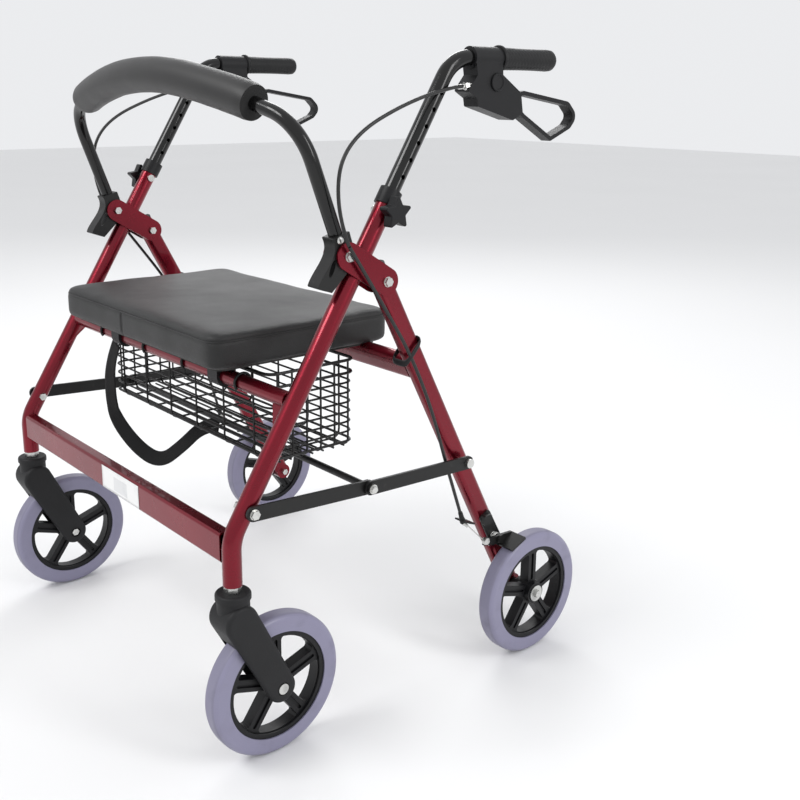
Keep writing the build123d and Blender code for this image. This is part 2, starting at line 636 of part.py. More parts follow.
with BuildPart() as seat_cushion:
    with BuildSketch(Plane.XY.offset(SEAT_BOTTOM_Z + SEAT_BOARD_T)):
        with Locations((0, SEAT_FRONT_Y + SEAT_DEPTH / 2)):
            RectangleRounded(2 * SEAT_HALF, SEAT_DEPTH, 25)
    extrude(amount=SEAT_TOP_Z - SEAT_BOTTOM_Z - SEAT_BOARD_T)
    fillet(seat_cushion.faces().sort_by(Axis.Z)[-1].edges(), 9)
save(seat_cushion.part, "seat_cushion")

# clips that turn on the seat crossbar
CLIP_R = 15.5
CLIP_W = 26.0
with BuildPart() as seat_clips:
    with BuildSketch(Plane.YZ.offset(SEAT_CLIP_X - CLIP_W / 2)):
        with Locations(SEAT_BAR):
            Circle(CLIP_R)
        with Locations((SEAT_BAR[0], (SEAT_BAR[1] + SEAT_BOTTOM_Z) / 2)):
            Rectangle(2 * CLIP_R, SEAT_BOTTOM_Z - SEAT_BAR[1])
        with Locations(SEAT_BAR):
            Circle(SEAT_BAR_R + RUN_CLEARANCE, mode=Mode.SUBTRACT)
    extrude(amount=CLIP_W)
    mirror(about=Plane.YZ)
save(seat_clips.part, "seat_clips")

# ================= Backrest =================
BRACKET_HALF = 11.5
SOCKET_UP = 30.0
SOCKET_DEPTH = 16.0
BACK_LEAN = 20.2
BACK_UP = (-math.sin(math.radians(BACK_LEAN)), math.cos(math.radians(BACK_LEAN)))
BACK_CORNER_UP = 178.0
BACK_CORNER_X = 322.0
BACK_CORNER_R = 70.0
BACK_CREST_X = 110.0
BACK_CREST_R = 420.0
BACK_CREST_FORWARD = 32.0
BACK_CREST_RISE = 58.0


def back_at(up):
    """A side-view place up the backrest tube from its pivot."""
    return (BACK_PIVOT[0] + up * BACK_UP[0], BACK_PIVOT[1] + up * BACK_UP[1])


BACK_CORNER = at_x(BACK_CORNER_X, back_at(BACK_CORNER_UP))
BACK_CREST = (BACK_CREST_X, BACK_CORNER[1] - BACK_CREST_FORWARD, BACK_CORNER[2] + BACK_CREST_RISE)
PAD_SHARE = (BACK_CORNER_X - BACK_PAD_HALF) / (BACK_CORNER_X - BACK_CREST_X)
PAD_END = tuple(a + PAD_SHARE * (b - a) for a, b in zip(BACK_CORNER, BACK_CREST))


def across(point):
    """The same point on the walker's right."""
    return (-point[0], point[1], point[2])


BACK_FOOT = at_x(LEG_X, back_at(SOCKET_UP - SOCKET_DEPTH))
with BuildLine() as pad_path:
    FilletPolyline(PAD_END, BACK_CREST, across(BACK_CREST), across(PAD_END), radius=BACK_CREST_R)
with BuildLine() as back_path:
    FilletPolyline(BACK_FOOT, BACK_CORNER, PAD_END, radius=BACK_CORNER_R)
    add(pad_path.line)
    FilletPolyline(across(PAD_END), across(BACK_CORNER), across(BACK_FOOT), radius=BACK_CORNER_R)

with BuildPart() as backrest_tube:
    with BuildSketch(Plane(origin=BACK_FOOT, z_dir=back_path.wire() % 0)):
        Circle(BACK_TUBE_R)
        Circle(BACK_TUBE_R - BAR_WALL, mode=Mode.SUBTRACT)
    sweep(path=back_path.wire())
save(backrest_tube.part, "backrest_tube")

with BuildPart() as backrest_pad:
    with BuildSketch(Plane(origin=PAD_END, z_dir=pad_path.wire() % 0)):
        Circle(BACK_PAD_R)
        Circle(BACK_TUBE_R + 0.1, mode=Mode.SUBTRACT)
    sweep(path=pad_path.wire())
save(backrest_pad.part, "backrest_pad")

SOCKET_R = 13.5
BRACKET_FOOT = (BACK_PIVOT[0] - 47, BACK_PIVOT[1] - 37)
FOOT_WIDE = 22.0
with BuildPart() as back_brackets:
    with BuildSketch(LEG_PLANE):
        with BuildLine():
            Polyline(
                BRACKET_FOOT,
                (BRACKET_FOOT[0] + FOOT_WIDE, BRACKET_FOOT[1] - 8),
                (BACK_PIVOT[0] + 8, BACK_PIVOT[1] - 14),
                (BACK_PIVOT[0] + 14, BACK_PIVOT[1]),
                (back_at(SOCKET_UP)[0] + SOCKET_R, back_at(SOCKET_UP)[1] + 4),
                (back_at(SOCKET_UP)[0] - SOCKET_R, back_at(SOCKET_UP)[1] - 4),
            )
            Spline(
                (back_at(SOCKET_UP)[0] - SOCKET_R, back_at(SOCKET_UP)[1] - 4),
                (BACK_PIVOT[0] - 20, BACK_PIVOT[1] + 8),
                (BACK_PIVOT[0] - 32, BACK_PIVOT[1] - 14),
                BRACKET_FOOT,
            )
        make_face()
    extrude(amount=BRACKET_HALF, both=True)
    fillet(back_brackets.edges().filter_by(Axis.X), 1.5)
    disc(LEG_X - 20, LEG_X + 20, BACK_PIVOT, PIVOT_R + RUN_CLEARANCE, Mode.SUBTRACT)
    with BuildSketch(Plane(origin=BACK_FOOT, z_dir=back_path.wire() % 0)):
        Circle(BACK_TUBE_R)
    extrude(amount=SOCKET_DEPTH + 30, mode=Mode.SUBTRACT)
    with BuildSketch(LEG_PLANE):
        with Locations((BACK_PIVOT[0] - 24, BACK_PIVOT[1] - 14)):
            Ellipse(3.5, 12, rotation=-22)
    extrude(amount=BRACKET_HALF + 1, both=True, mode=Mode.SUBTRACT)
    mirror(about=Plane.YZ)
save(back_brackets.part, "back_brackets")

# ================= Handles =================
HANDLE_BEND_AT = (HANDLE_Z - LEG_BEND_Z) / LEG_SIN
HANDLE_BEND = leg_at(HANDLE_BEND_AT)
HANDLE_FOOT = leg_at(LEG_LENGTH - HANDLE_INSERTED)
with BuildPart() as handle_tube:
    with BuildLine(LEG_PLANE) as handle_path:
        FilletPolyline(HANDLE_FOOT, HANDLE_BEND, (HANDLE_END_Y, HANDLE_Z), radius=HANDLE_BEND_R)
    with BuildSketch(Plane(origin=at_x(LEG_X, HANDLE_FOOT), z_dir=(0, LEG_COS, LEG_SIN))):
        Circle(HANDLE_R)
        Circle(HANDLE_R - HANDLE_WALL, mode=Mode.SUBTRACT)
    sweep(path=handle_path.wire())
    for step in range(-HOLES_BELOW, HOLES_ABOVE + 1):
        hole = leg_at(KNOB_AT + step * HOLE_PITCH)
        disc(LEG_X - HANDLE_R - 1, LEG_X + HANDLE_R + 1, hole, HOLE_R, Mode.SUBTRACT)
save_pair(handle_tube.part, "handle_tube")

HANDLE_AXIS_PLANE = Plane(origin=(LEG_X, GRIP_FRONT_Y, HANDLE_Z), z_dir=(0, 1, 0))
with BuildPart() as grip:
    with BuildSketch(HANDLE_AXIS_PLANE):
        Circle(GRIP_R)
    extrude(amount=GRIP_END_Y - GRIP_FRONT_Y)
    fillet(grip.faces().sort_by(Axis.Y)[-1].edges(), 4)
    with BuildSketch(HANDLE_AXIS_PLANE):
        Circle(GRIP_FLANGE_R)
    extrude(amount=4)
    with BuildSketch(HANDLE_AXIS_PLANE):
        Circle(HANDLE_R)
    extrude(amount=HANDLE_END_Y - GRIP_FRONT_Y, mode=Mode.SUBTRACT)
save_pair(grip.part, "grip")

# the lever housing: a clamp round the tube and a body below it, with a slot for the lever
CLAMP_FRONT_Y = 110.0
CLAMP_R = 15.5
HOUSING_HALF = 14.0
LEVER_HALF = 9.0
LEVER_PIVOT = (191.0, 861.0)
LEVER_PIN_R = 3.5
LEVER_HUB_R = 9.0
SLOT_SIDE_GAP = 0.4
BOSS = (CLAMP_FRONT_Y + 42, 885.0)
BOSS_R = 11.0
ADJUSTER = (334.0, 880.0)
ADJUSTER_OUT = 15.0
with BuildPart() as lever_housing:
    with BuildSketch(Plane(origin=(LEG_X, CLAMP_FRONT_Y, HANDLE_Z), z_dir=(0, 1, 0))):
        Circle(CLAMP_R)
    extrude(amount=GRIP_FRONT_Y - CLAMP_FRONT_Y)
    with BuildSketch(LEG_PLANE):
        with BuildLine():
            FilletPolyline(
                (CLAMP_FRONT_Y, HANDLE_Z),
                (CLAMP_FRONT_Y + 4, 895),
                (CLAMP_FRONT_Y - 14, 874),
                (CLAMP_FRONT_Y + 4, 864),
                (CLAMP_FRONT_Y + 6, 853),
                (LEVER_PIVOT[0] - 4, 834),
                (LEVER_PIVOT[0] + 16, 844),
                (LEVER_PIVOT[0] + 11, 872),
                (GRIP_FRONT_Y - 0.5, 896),
                (GRIP_FRONT_Y - 2, HANDLE_Z),
                radius=2.5,
                close=True,
            )
        make_face()
    extrude(amount=HOUSING_HALF, both=True)
    disc(LEG_X - HOUSING_HALF - 1.5, LEG_X + HOUSING_HALF + 1.5, BOSS, BOSS_R)
    with BuildSketch(Plane(origin=(LEG_X, CLAMP_FRONT_Y, HANDLE_Z), z_dir=(0, 1, 0))):
        Circle(HANDLE_R)
    extrude(amount=GRIP_FRONT_Y - CLAMP_FRONT_Y, mode=Mode.SUBTRACT)
    with BuildSketch(LEG_PLANE):
        with Locations((LEVER_PIVOT[0] + 12, LEVER_PIVOT[1])):
            Rectangle(2 * 24, 40)
    extrude(amount=LEVER_HALF + SLOT_SIDE_GAP, both=True, mode=Mode.SUBTRACT)
    disc(LEG_X - HOUSING_HALF + 1, LEG_X + HOUSING_HALF - 1, LEVER_PIVOT, LEVER_PIN_R)
    with BuildSketch(Plane(origin=(ADJUSTER[0], CLAMP_FRONT_Y + 2, ADJUSTER[1]), z_dir=(0, -1, 0))):
        Circle(4.5)
    extrude(amount=ADJUSTER_OUT + 2)
save_pair(lever_housing.part, "lever_housing")

# the brake lever: a closed loop below the grip
LEVER_STRIP = 6.0
LEVER_TIP_R = 14.0
with BuildPart() as brake_lever:
    with BuildSketch(LEG_PLANE) as lever_loop:
        with BuildLine():
            Polyline(
                (LEVER_PIVOT[0] + 4, LEVER_PIVOT[1] + 9),
                (LEVER_PIVOT[0] + 22, LEVER_PIVOT[1] + 14),
                (LEVER_PIVOT[0] + 122, LEVER_PIVOT[1] - 1),
                (LEVER_PIVOT[0] + 144, LEVER_PIVOT[1] - 22),
                (LEVER_PIVOT[0] + 128, LEVER_PIVOT[1] - 40),
                (LEVER_PIVOT[0] + 84, LEVER_PIVOT[1] - 58),
                (LEVER_PIVOT[0] + 22, LEVER_PIVOT[1] - 24),
                (LEVER_PIVOT[0] + 2, LEVER_PIVOT[1] - 9),
                close=True,
            )
        make_face()
        corners = lever_loop.vertices().sort_by(Axis.X)
        fillet(corners[-3:], LEVER_TIP_R)
        fillet(corners[-4], 1.5 * LEVER_TIP_R)
        offset(amount=-LEVER_STRIP, kind=Kind.ARC, mode=Mode.SUBTRACT)
        with Locations(LEVER_PIVOT):
            Circle(LEVER_HUB_R)
            Circle(LEVER_PIN_R + RUN_CLEARANCE, mode=Mode.SUBTRACT)
    extrude(amount=LEVER_HALF, both=True)
save_pair(brake_lever.part, "brake_lever")

# star knobs that lock the handle height; the stud stops short of the sliding tube
KNOB_R = 25.0
KNOB_WAIST_R = 12.5
KNOB_POINTS = 5
KNOB_ROUND = 2.5
KNOB_FACE_X = LEG_X + LEG_R + 7
KNOB_T = 15.0
star_points = []
for corner in range(2 * KNOB_POINTS):
    reach = KNOB_R if corner % 2 == 0 else KNOB_WAIST_R
    turn = math.pi * (0.5 + corner / KNOB_POINTS)
    star_points.append((reach * math.cos(turn), reach * math.sin(turn)))
with BuildPart() as star_knob:
    with BuildSketch(Plane.YZ.offset(KNOB_FACE_X)) as star:
        with Locations(leg_at(KNOB_AT)):
            Polygon(*star_points, align=None)
        fillet(star.vertices(), KNOB_ROUND)
    extrude(amount=KNOB_T)
    fillet(star_knob.faces().sort_by(Axis.X)[-1].edges(), 2)
    disc(LEG_X + LEG_R + 0.4, KNOB_FACE_X, leg_at(KNOB_AT), 8)
    disc(LEG_X + HANDLE_R + 0.6, KNOB_FACE_X, leg_at(KNOB_AT), HOLE_R - 0.1)
save_pair(star_knob.part, "star_knob")

# ================= Brake cables =================
# each side has one cable housing; it is made in two lengths that meet at the hinge plates
UPPER_CABLE = [
    (334.0, 94.6, 880.0),
    (336.0, 80.0, 879.5),
    (342.2, 56.0, 876.0),
    (342.5, 16.0, 867.5),
    (342.8, -34.0, 851.0),
    (343.5, -86.0, 828.0),
    (344.5, -119.0, 800.0),
    (346.0, -133.0, 766.0),
    (348.5, -131.0, 714.0),
    (350.0, -118.0, 682.0),
]
LOWER_CABLE = [
    (349.9, -117.2, 680.8),
    (348.5, -84.0, 634.0),
    (344.0, -48.0, 585.0),
    (340.0, -6.0, 526.0),
    (339.2, 29.0, 457.0),
    (339.2, 51.0, 401.0),
    (339.4, 67.0, 352.0),
    (342.5, 84.0, 300.0),
    (346.0, 101.0, 246.0),
]


def arc_radii(points):
    """The largest easy arc at each inner point of a route."""
    radii = []
    for before, here, after in zip(points, points[1:], points[2:]):
        turn = (Vector(here) - Vector(before)).get_angle(Vector(after) - Vector(here))
        run = min(math.dist(before, here), math.dist(here, after))
        radii.append(0.45 * run / math.tan(math.radians(turn) / 2))
    return radii


def cable(points, name):
    """A round cable housing along straight runs joined by tangent arcs, on both sides."""
    with BuildPart() as housing:
        with BuildLine() as route:
            FilletPolyline(*points, radius=arc_radii(points))
        with BuildSketch(Plane(origin=points[0], z_dir=route.wire() % 0)):
            Circle(CABLE_R)
        sweep(path=route.wire())
    save_pair(housing.part, name)


cable(UPPER_CABLE, "cable_upper")
cable(LOWER_CABLE, "cable_lower")
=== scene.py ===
import json
import math

import bmesh
import bpy
from mathutils import Matrix, Vector, noise
from mathutils.bvhtree import BVHTree


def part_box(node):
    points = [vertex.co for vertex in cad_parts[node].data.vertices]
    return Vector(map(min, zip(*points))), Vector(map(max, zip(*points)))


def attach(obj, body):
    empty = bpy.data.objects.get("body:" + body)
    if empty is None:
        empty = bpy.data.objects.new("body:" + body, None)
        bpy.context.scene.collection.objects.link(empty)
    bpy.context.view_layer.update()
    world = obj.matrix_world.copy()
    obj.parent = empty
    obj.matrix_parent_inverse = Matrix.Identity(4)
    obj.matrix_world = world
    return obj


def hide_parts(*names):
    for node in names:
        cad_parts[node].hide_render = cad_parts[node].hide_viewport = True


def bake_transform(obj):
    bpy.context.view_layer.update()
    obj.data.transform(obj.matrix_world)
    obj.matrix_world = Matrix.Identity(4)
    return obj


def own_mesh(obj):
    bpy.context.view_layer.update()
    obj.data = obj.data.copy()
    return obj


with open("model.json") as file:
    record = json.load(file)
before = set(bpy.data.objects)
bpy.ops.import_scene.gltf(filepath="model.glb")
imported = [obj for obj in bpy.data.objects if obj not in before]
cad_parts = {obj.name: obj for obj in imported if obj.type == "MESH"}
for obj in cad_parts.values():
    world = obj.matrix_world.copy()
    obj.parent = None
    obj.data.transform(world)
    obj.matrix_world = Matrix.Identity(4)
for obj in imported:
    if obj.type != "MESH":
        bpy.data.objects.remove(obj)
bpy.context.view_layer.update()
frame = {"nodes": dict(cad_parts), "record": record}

# Heavy-duty four-wheeled walker: steel tube frame, padded seat, backrest bar and wire basket.
# Lengths are in metres. X runs from the user's right to left, Y to the rear, Z up.

scene = bpy.context.scene
SIDES = (("left", 1), ("right", -1))


# ================= Camera =================
EYE = Vector((1.3613, -0.9132, 0.8705))
LOOK = Vector((-0.7309, 0.6377, -0.2431)).normalized()
ROLL = math.radians(0.58)
LENS = 46.07
SENSOR_WIDE = 36
FRAMING_UP = -0.0633
FARTHEST_SEEN = 60


def place_camera():
    """The camera, a little above the handles at the front left of the walker."""
    level = LOOK.cross(Vector((0, 0, 1))).normalized()
    upright = level.cross(LOOK)
    right = level * math.cos(ROLL) + upright * math.sin(ROLL)
    up = right.cross(LOOK)
    lens = bpy.data.cameras.new("camera")
    lens.lens = LENS
    lens.sensor_width = SENSOR_WIDE
    lens.shift_y = FRAMING_UP
    lens.clip_end = FARTHEST_SEEN
    camera = bpy.data.objects.new("camera", lens)
    facing = Matrix((right, up, -LOOK)).transposed().to_4x4()
    camera.matrix_world = Matrix.Translation(EYE) @ facing
    scene.collection.objects.link(camera)
    scene.camera = camera


place_camera()
scene.view_settings.view_transform = "Standard"


# ================= Finishes =================
class Signal:
    """A number that changes over a surface. Arithmetic on it adds Math nodes."""

    def __init__(self, finish, socket):
        self.finish = finish
        self.socket = socket

    def joined(self, operation, *terms):
        made = self.finish.node("ShaderNodeMath", {"operation": operation}, terms)
        return Signal(self.finish, made.outputs[0])

    def __add__(self, other):
        return self.joined("ADD", self, other)

    def __sub__(self, other):
        return self.joined("SUBTRACT", self, other)

    def __rsub__(self, other):
        return self.joined("SUBTRACT", other, self)

    def __mul__(self, other):
        return self.joined("MULTIPLY", self, other)

    def __pow__(self, power):
        return self.joined("POWER", self, power)

    __radd__ = __add__
    __rmul__ = __mul__

    def sine(self):
        return self.joined("SINE", self)

    def rises(self, low, high):
        """Nought below low, one above high, and smooth between them."""
        settings = {"interpolation_type": "SMOOTHSTEP"}
        ramp = self.finish.node("ShaderNodeMapRange", settings, {0: self, 1: low, 2: high})
        return Signal(self.finish, ramp.outputs[0])


class Finish:
    """One finish: its shader, and the nodes that feed it from Object coordinates."""

    def __init__(
        self, name, roughness=0.5, metallic=0.0, coat=0.0, coat_roughness=0.03, sheen=0.0, shine=0.5
    ):
        self.material = bpy.data.materials.new(name)
        self.material.use_nodes = True
        self.tree = self.material.node_tree
        self.shader = self.tree.nodes["Principled BSDF"]
        self.place = self.node("ShaderNodeTexCoord").outputs["Object"]
        self.give("Roughness", roughness)
        self.give("Metallic", metallic)
        self.give("Coat Weight", coat)
        self.give("Coat Roughness", coat_roughness)
        self.give("Sheen Weight", sheen)
        self.give("Specular IOR Level", shine)

    def node(self, kind, settings=None, sockets=()):
        """Add a node, give it its settings, and then the values or links of its sockets."""
        made = self.tree.nodes.new(kind)
        for name, value in (settings or {}).items():
            setattr(made, name, value)
        for key, value in sockets.items() if isinstance(sockets, dict) else enumerate(sockets):
            self.feed(made.inputs[key], value)
        return made

    def feed(self, socket, value):
        value = value.socket if isinstance(value, Signal) else value
        if isinstance(value, bpy.types.NodeSocket):
            self.tree.links.new(value, socket)
        else:
            socket.default_value = value

    def give(self, name, value):
        self.feed(self.shader.inputs[name], value)

    def axes(self, place=None):
        parts = self.node("ShaderNodeSeparateXYZ", None, (place or self.place,))
        return [Signal(self, socket) for socket in parts.outputs]

    def stretched(self, x, y, z):
        """Object coordinates, with each axis drawn out or pressed together."""
        return self.node("ShaderNodeMapping", None, {"Vector": self.place, "Scale": (x, y, z)}).outputs[0]

    def cloud(self, scale, detail=3.0, place=None):
        sockets = {"Vector": place or self.place, "Scale": scale, "Detail": detail}
        return Signal(self, self.node("ShaderNodeTexNoise", None, sockets).outputs[0])

    def cells(self, scale, feature="F1", place=None):
        sockets = {"Vector": place or self.place, "Scale": scale}
        made = self.node("ShaderNodeTexVoronoi", {"feature": feature}, sockets)
        return Signal(self, made.outputs["Distance"])

    def between(self, share, first, second):
        sockets = {0: share, 6: first, 7: second}
        return self.node("ShaderNodeMix", {"data_type": "RGBA"}, sockets).outputs[2]

    def colour(self, share, first, second):
        self.give("Base Color", self.between(share, (*first, 1), (*second, 1)))

    def relief(self, height, depth, strength=1.0):
        """Small relief on the surface, to a depth in metres."""
        sockets = {"Height": height, "Distance": depth, "Strength": strength}
        self.give("Normal", self.node("ShaderNodeBump", None, sockets).outputs[0])


def red_paint():
    """Wine red metallic powder coat under a clear gloss, with orange peel and a roughness that varies in
    patches.
    """
    paint = Finish("red_paint", metallic=0.8, coat=0.35, coat_roughness=0.03)
    flake = paint.cloud(1400, 1)
    drift = paint.cloud(7, 2)
    paint.colour(flake * 0.55 + drift * 0.45, (0.078, 0.001, 0.006), (0.280, 0.004, 0.020))
    paint.give("Roughness", 0.22 + paint.cloud(45, 4) * 0.13)
    paint.relief(paint.cloud(420, 2) + flake * 0.15, 0.00012, 0.5)
    return paint.material


def black_gloss():
    """Gloss black coat on the handle and backrest tubes, with fine handling marks."""
    coat = Finish("black_gloss", coat=0.12, shine=0.35)
    drift = coat.cloud(12, 3)
    coat.colour(drift, (0.002, 0.002, 0.002), (0.007, 0.007, 0.007))
    scuff = coat.cloud(90, 5, coat.stretched(1, 0.2, 1)).rises(0.58, 0.74)
    coat.give("Roughness", 0.12 + scuff * 0.16 + drift * 0.05)
    coat.relief(coat.cloud(380, 2), 0.0001, 0.4)
    return coat.material


def black_steel():
    """Satin black powder coat on the flat links and brackets, rubbed grey here and there."""
    coat = Finish("black_steel", shine=0.35)
    grain = coat.cloud(900, 3)
    rub = coat.cloud(38, 5).rises(0.62, 0.76)
    coat.colour(rub * 0.7 + grain * 0.2, (0.004, 0.004, 0.004), (0.030, 0.029, 0.028))
    coat.give("Roughness", 0.36 + grain * 0.14 - rub * 0.08)
    coat.relief(grain, 0.00015, 0.5)
    return coat.material


def plated(name, light, dark, roughness):
    """Plated steel with short brush marks and a faint dull bloom."""
    steel = Finish(name, metallic=1.0)
    marks = steel.cloud(500, 3, steel.stretched(0.15, 1, 1))
    bloom = steel.cloud(60, 4).rises(0.45, 0.75)
    steel.colour(bloom * 0.7 + marks * 0.3, light, dark)
    steel.give("Roughness", roughness + bloom * 0.14 + marks * 0.10)
    steel.relief(marks, 0.00005, 0.4)
    return steel.material


def moulded(name, dark, light, roughness, grain, depth):
    """Black moulded plastic with a spark-eroded grain and faint flow marks."""
    plastic = Finish(name, shine=0.28)
    pits = plastic.cloud(grain, 3)
    flow = plastic.cloud(22, 4)
    plastic.colour(pits * 0.35 + flow * 0.65, dark, light)
    plastic.give("Roughness", roughness + pits * 0.12 + flow * 0.08)
    plastic.relief(pits, depth, 0.6)
    return plastic.material


TYRE_LINE = 0.0021
TREAD_START = 0.0975
TREAD_FULL = 0.0995


def tyre_rubber(name, axle_y, axle_z):
    """Lavender grey polyurethane with fine turned lines round the axle and dust in them."""
    rubber = Finish(name)
    _, y, z = rubber.axes()
    out = ((y - axle_y) ** 2 + (z - axle_z) ** 2) ** 0.5
    lines = (out * (2 * math.pi / TYRE_LINE)).sine() * 0.5 + 0.5
    dust = rubber.cloud(32, 5).rises(0.5, 0.8)
    tread = out.rises(TREAD_START, TREAD_FULL)
    rubber.colour(dust * 0.4 + tread * 0.35 + lines * 0.12, (0.235, 0.225, 0.325), (0.150, 0.142, 0.190))
    rubber.give("Roughness", 0.34 + dust * 0.22 + tread * 0.12)
    rubber.relief(lines * 0.6 + rubber.cloud(700, 3) * 0.5, 0.00022, 0.55)
    return rubber.material


def grip_rubber():
    """Soft black grip rubber, dull in the hollows and polished on the ridges."""
    rubber = Finish("grip_rubber", shine=0.3)
    pits = rubber.cloud(1300, 3)
    hand = rubber.cloud(40, 4)
    rubber.colour(hand * 0.6 + pits * 0.4, (0.003, 0.003, 0.004), (0.013, 0.013, 0.013))
    rubber.give("Roughness", 0.42 + pits * 0.2 - hand * 0.1)
    rubber.relief(pits, 0.00025, 0.7)
    return rubber.material


def leather_grain(finish):
    """The height of a fine pebbled grain: raised cells with creases between them."""
    pebble = finish.cells(420, "DISTANCE_TO_EDGE").rises(0.0, 0.22)
    fine = finish.cells(1100, "F1")
    crease = finish.cloud(95, 6)
    return pebble * 0.55 + fine * 0.15 + crease * 0.5


def seat_vinyl():
    """Charcoal leatherette with a pebbled grain and a soft satin from sitting."""
    vinyl = Finish("seat_vinyl", sheen=0.03, shine=0.34)
    grain = leather_grain(vinyl)
    worn = vinyl.cloud(6, 4).rises(0.35, 0.7)
    vinyl.colour(worn * 0.55 + grain * 0.3, (0.008, 0.008, 0.008), (0.026, 0.026, 0.026))
    vinyl.give("Roughness", 0.44 - worn * 0.07 + grain * 0.10)
    vinyl.relief(grain, 0.00045, 0.55)
    return vinyl.material


def thread(name, colour):
    """Sewing thread, twisted."""
    yarn = Finish(name, sheen=0.2)
    x, y, z = yarn.axes()
    twist = ((x + y + z * 0.6) * 3800).sine() * 0.5 + 0.5
    yarn.colour(twist, tuple(part * 0.55 for part in colour), colour)
    yarn.give("Roughness", 0.55 + twist * 0.15)
    yarn.relief(twist, 0.0002, 0.8)
    return yarn.material


def foam_skin():
    """Closed-cell foam sleeve: a smooth charcoal skin with tiny pores and a soft shine."""
    foam = Finish("foam", sheen=0.06, shine=0.42)
    pores = foam.cells(1500)
    soft = foam.cloud(26, 4)
    foam.colour(soft * 0.6 + pores * 0.4, (0.008, 0.008, 0.008), (0.022, 0.021, 0.021))
    foam.give("Roughness", 0.36 + soft * 0.14 + pores * 0.08)
    foam.relief(pores * 0.5 + soft * 0.9, 0.0005, 0.35)
    return foam.material


def cut_foam():
    """The cut ends of the foam sleeve, darker and open-celled."""
    foam = Finish("cut_foam", roughness=0.85)
    holes = foam.cells(900)
    foam.colour(holes, (0.004, 0.004, 0.004), (0.016, 0.016, 0.016))
    foam.relief(holes, 0.0006, 0.8)
    return foam.material


def seat_board():
    """Black-faced board under the seat, with long fibres showing through."""
    board = Finish("board")
    fibres = board.cloud(160, 5, board.stretched(0.08, 1, 1))
    board.colour(fibres, (0.010, 0.010, 0.010), (0.040, 0.037, 0.034))
    board.give("Roughness", 0.6 + fibres * 0.2)
    board.relief(fibres, 0.0003, 0.5)
    return board.material


def basket_coat():
    """Thin black dip coat on the basket wire, a little lumpy."""
    coat = Finish("basket_wire", shine=0.4)
    lumps = coat.cloud(260, 3)
    coat.colour(lumps, (0.002, 0.002, 0.002), (0.010, 0.010, 0.010))
    coat.give("Roughness", 0.28 + lumps * 0.18)
    coat.relief(lumps, 0.0003, 0.6)
    return coat.material


def webbing():
    """Black woven webbing, its threads following the strap."""
    web = Finish("webbing", sheen=0.04, shine=0.25)
    across, along, _ = web.axes(web.node("ShaderNodeTexCoord").outputs["UV"])
    warp = (across * 110).sine() * 0.5 + 0.5
    weft = (along * 1500).sine() * 0.5 + 0.5
    weave = warp * weft + (1 - warp) * (1 - weft)
    web.colour(weave, (0.002, 0.002, 0.002), (0.012, 0.012, 0.013))
    web.give("Roughness", 0.62 + weave * 0.18)
    web.relief(weave, 0.0005, 0.8)
    return web.material


def cable_sheath():
    """Smooth black outer casing of a brake cable, faintly ribbed by its coil."""
    casing = Finish("cable_black")
    _, y, z = casing.axes()
    coil = ((z + y * 0.4) * 4200).sine() * 0.5 + 0.5
    bloom = casing.cloud(60, 3)
    casing.colour(bloom, (0.003, 0.003, 0.003), (0.012, 0.012, 0.012))
    casing.give("Roughness", 0.3 + bloom * 0.16)
    casing.relief(coil, 0.00012, 0.4)
    return casing.material


LABEL_X = (-0.020, 0.096)
LABEL_HIGH = 0.035
LABEL_T = 0.0002
PANEL_X = (0.018, 0.060)
PANEL_Z = (0.297, 0.318)
PANEL_EDGE = 0.0002


def label_film():
    """Blank white sticker with pale grey panels, slightly soiled, and no lettering."""
    film = Finish("label_film", coat=0.3, coat_roughness=0.2)
    x, _, z = film.axes()
    soil = film.cloud(55, 5).rises(0.45, 0.85)
    panel = x.rises(PANEL_X[0], PANEL_X[0] + PANEL_EDGE) * (1 - x.rises(PANEL_X[1], PANEL_X[1] + PANEL_EDGE))
    panel = panel * z.rises(PANEL_Z[0], PANEL_Z[0] + PANEL_EDGE)
    panel = panel * (1 - z.rises(PANEL_Z[1], PANEL_Z[1] + PANEL_EDGE))
    film.colour(soil * 0.35 + panel * 0.4, (0.78, 0.78, 0.77), (0.45, 0.46, 0.48))
    film.give("Roughness", 0.34 + soil * 0.25)
    film.relief(soil, 0.0001, 0.4)
    return film.material


def floor_finish():
    """Plain pale studio floor."""
    ground = Finish("floor", roughness=0.7)
    tone = ground.cloud(0.8, 2)
    ground.colour(tone, (0.80, 0.80, 0.80), (0.83, 0.83, 0.83))
    return ground.material


FINISHES = {
    "red_paint": red_paint(),
    "black_gloss": black_gloss(),
    "black_steel": black_steel(),
    "zinc": plated("zinc", (0.66, 0.66, 0.64), (0.42, 0.42, 0.41), 0.20),
    "bearing_steel": plated("bearing_steel", (0.55, 0.55, 0.56), (0.30, 0.30, 0.31), 0.24),
    "black_plastic": moulded(
        "black_plastic", (0.003, 0.003, 0.004), (0.012, 0.012, 0.013), 0.34, 900, 0.0002
    ),
    "fork_plastic": moulded(
        "fork_plastic", (0.005, 0.005, 0.006), (0.017, 0.017, 0.018), 0.44, 600, 0.0004
    ),
    "rim_plastic": moulded(
        "rim_plastic", (0.003, 0.003, 0.004), (0.010, 0.010, 0.011), 0.34, 800, 0.0002
    ),
    "grip_rubber": grip_rubber(),
    "seat_vinyl": seat_vinyl(),
    "foam": foam_skin(),
    "cut_foam": cut_foam(),
    "board": seat_board(),
    "basket_wire": basket_coat(),
    "webbing": webbing(),
    "cable_black": cable_sheath(),
}
THREAD = thread("seam_thread", (0.035, 0.035, 0.036))


def middle_of(node):
    low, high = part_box(node)
    return (Vector(low) + Vector(high)) / 2


for part in frame["record"]["subparts"]:
    node = frame["nodes"][part["node"]]
    if part["material_slot"] == "tyre":
        axle = middle_of(part["node"])
        finish = tyre_rubber("tyre_" + part["node"], axle.y, axle.z)
    else:
        finish = FINISHES[part["material_slot"]]
    for held in node.material_slots:
        held.material = finish


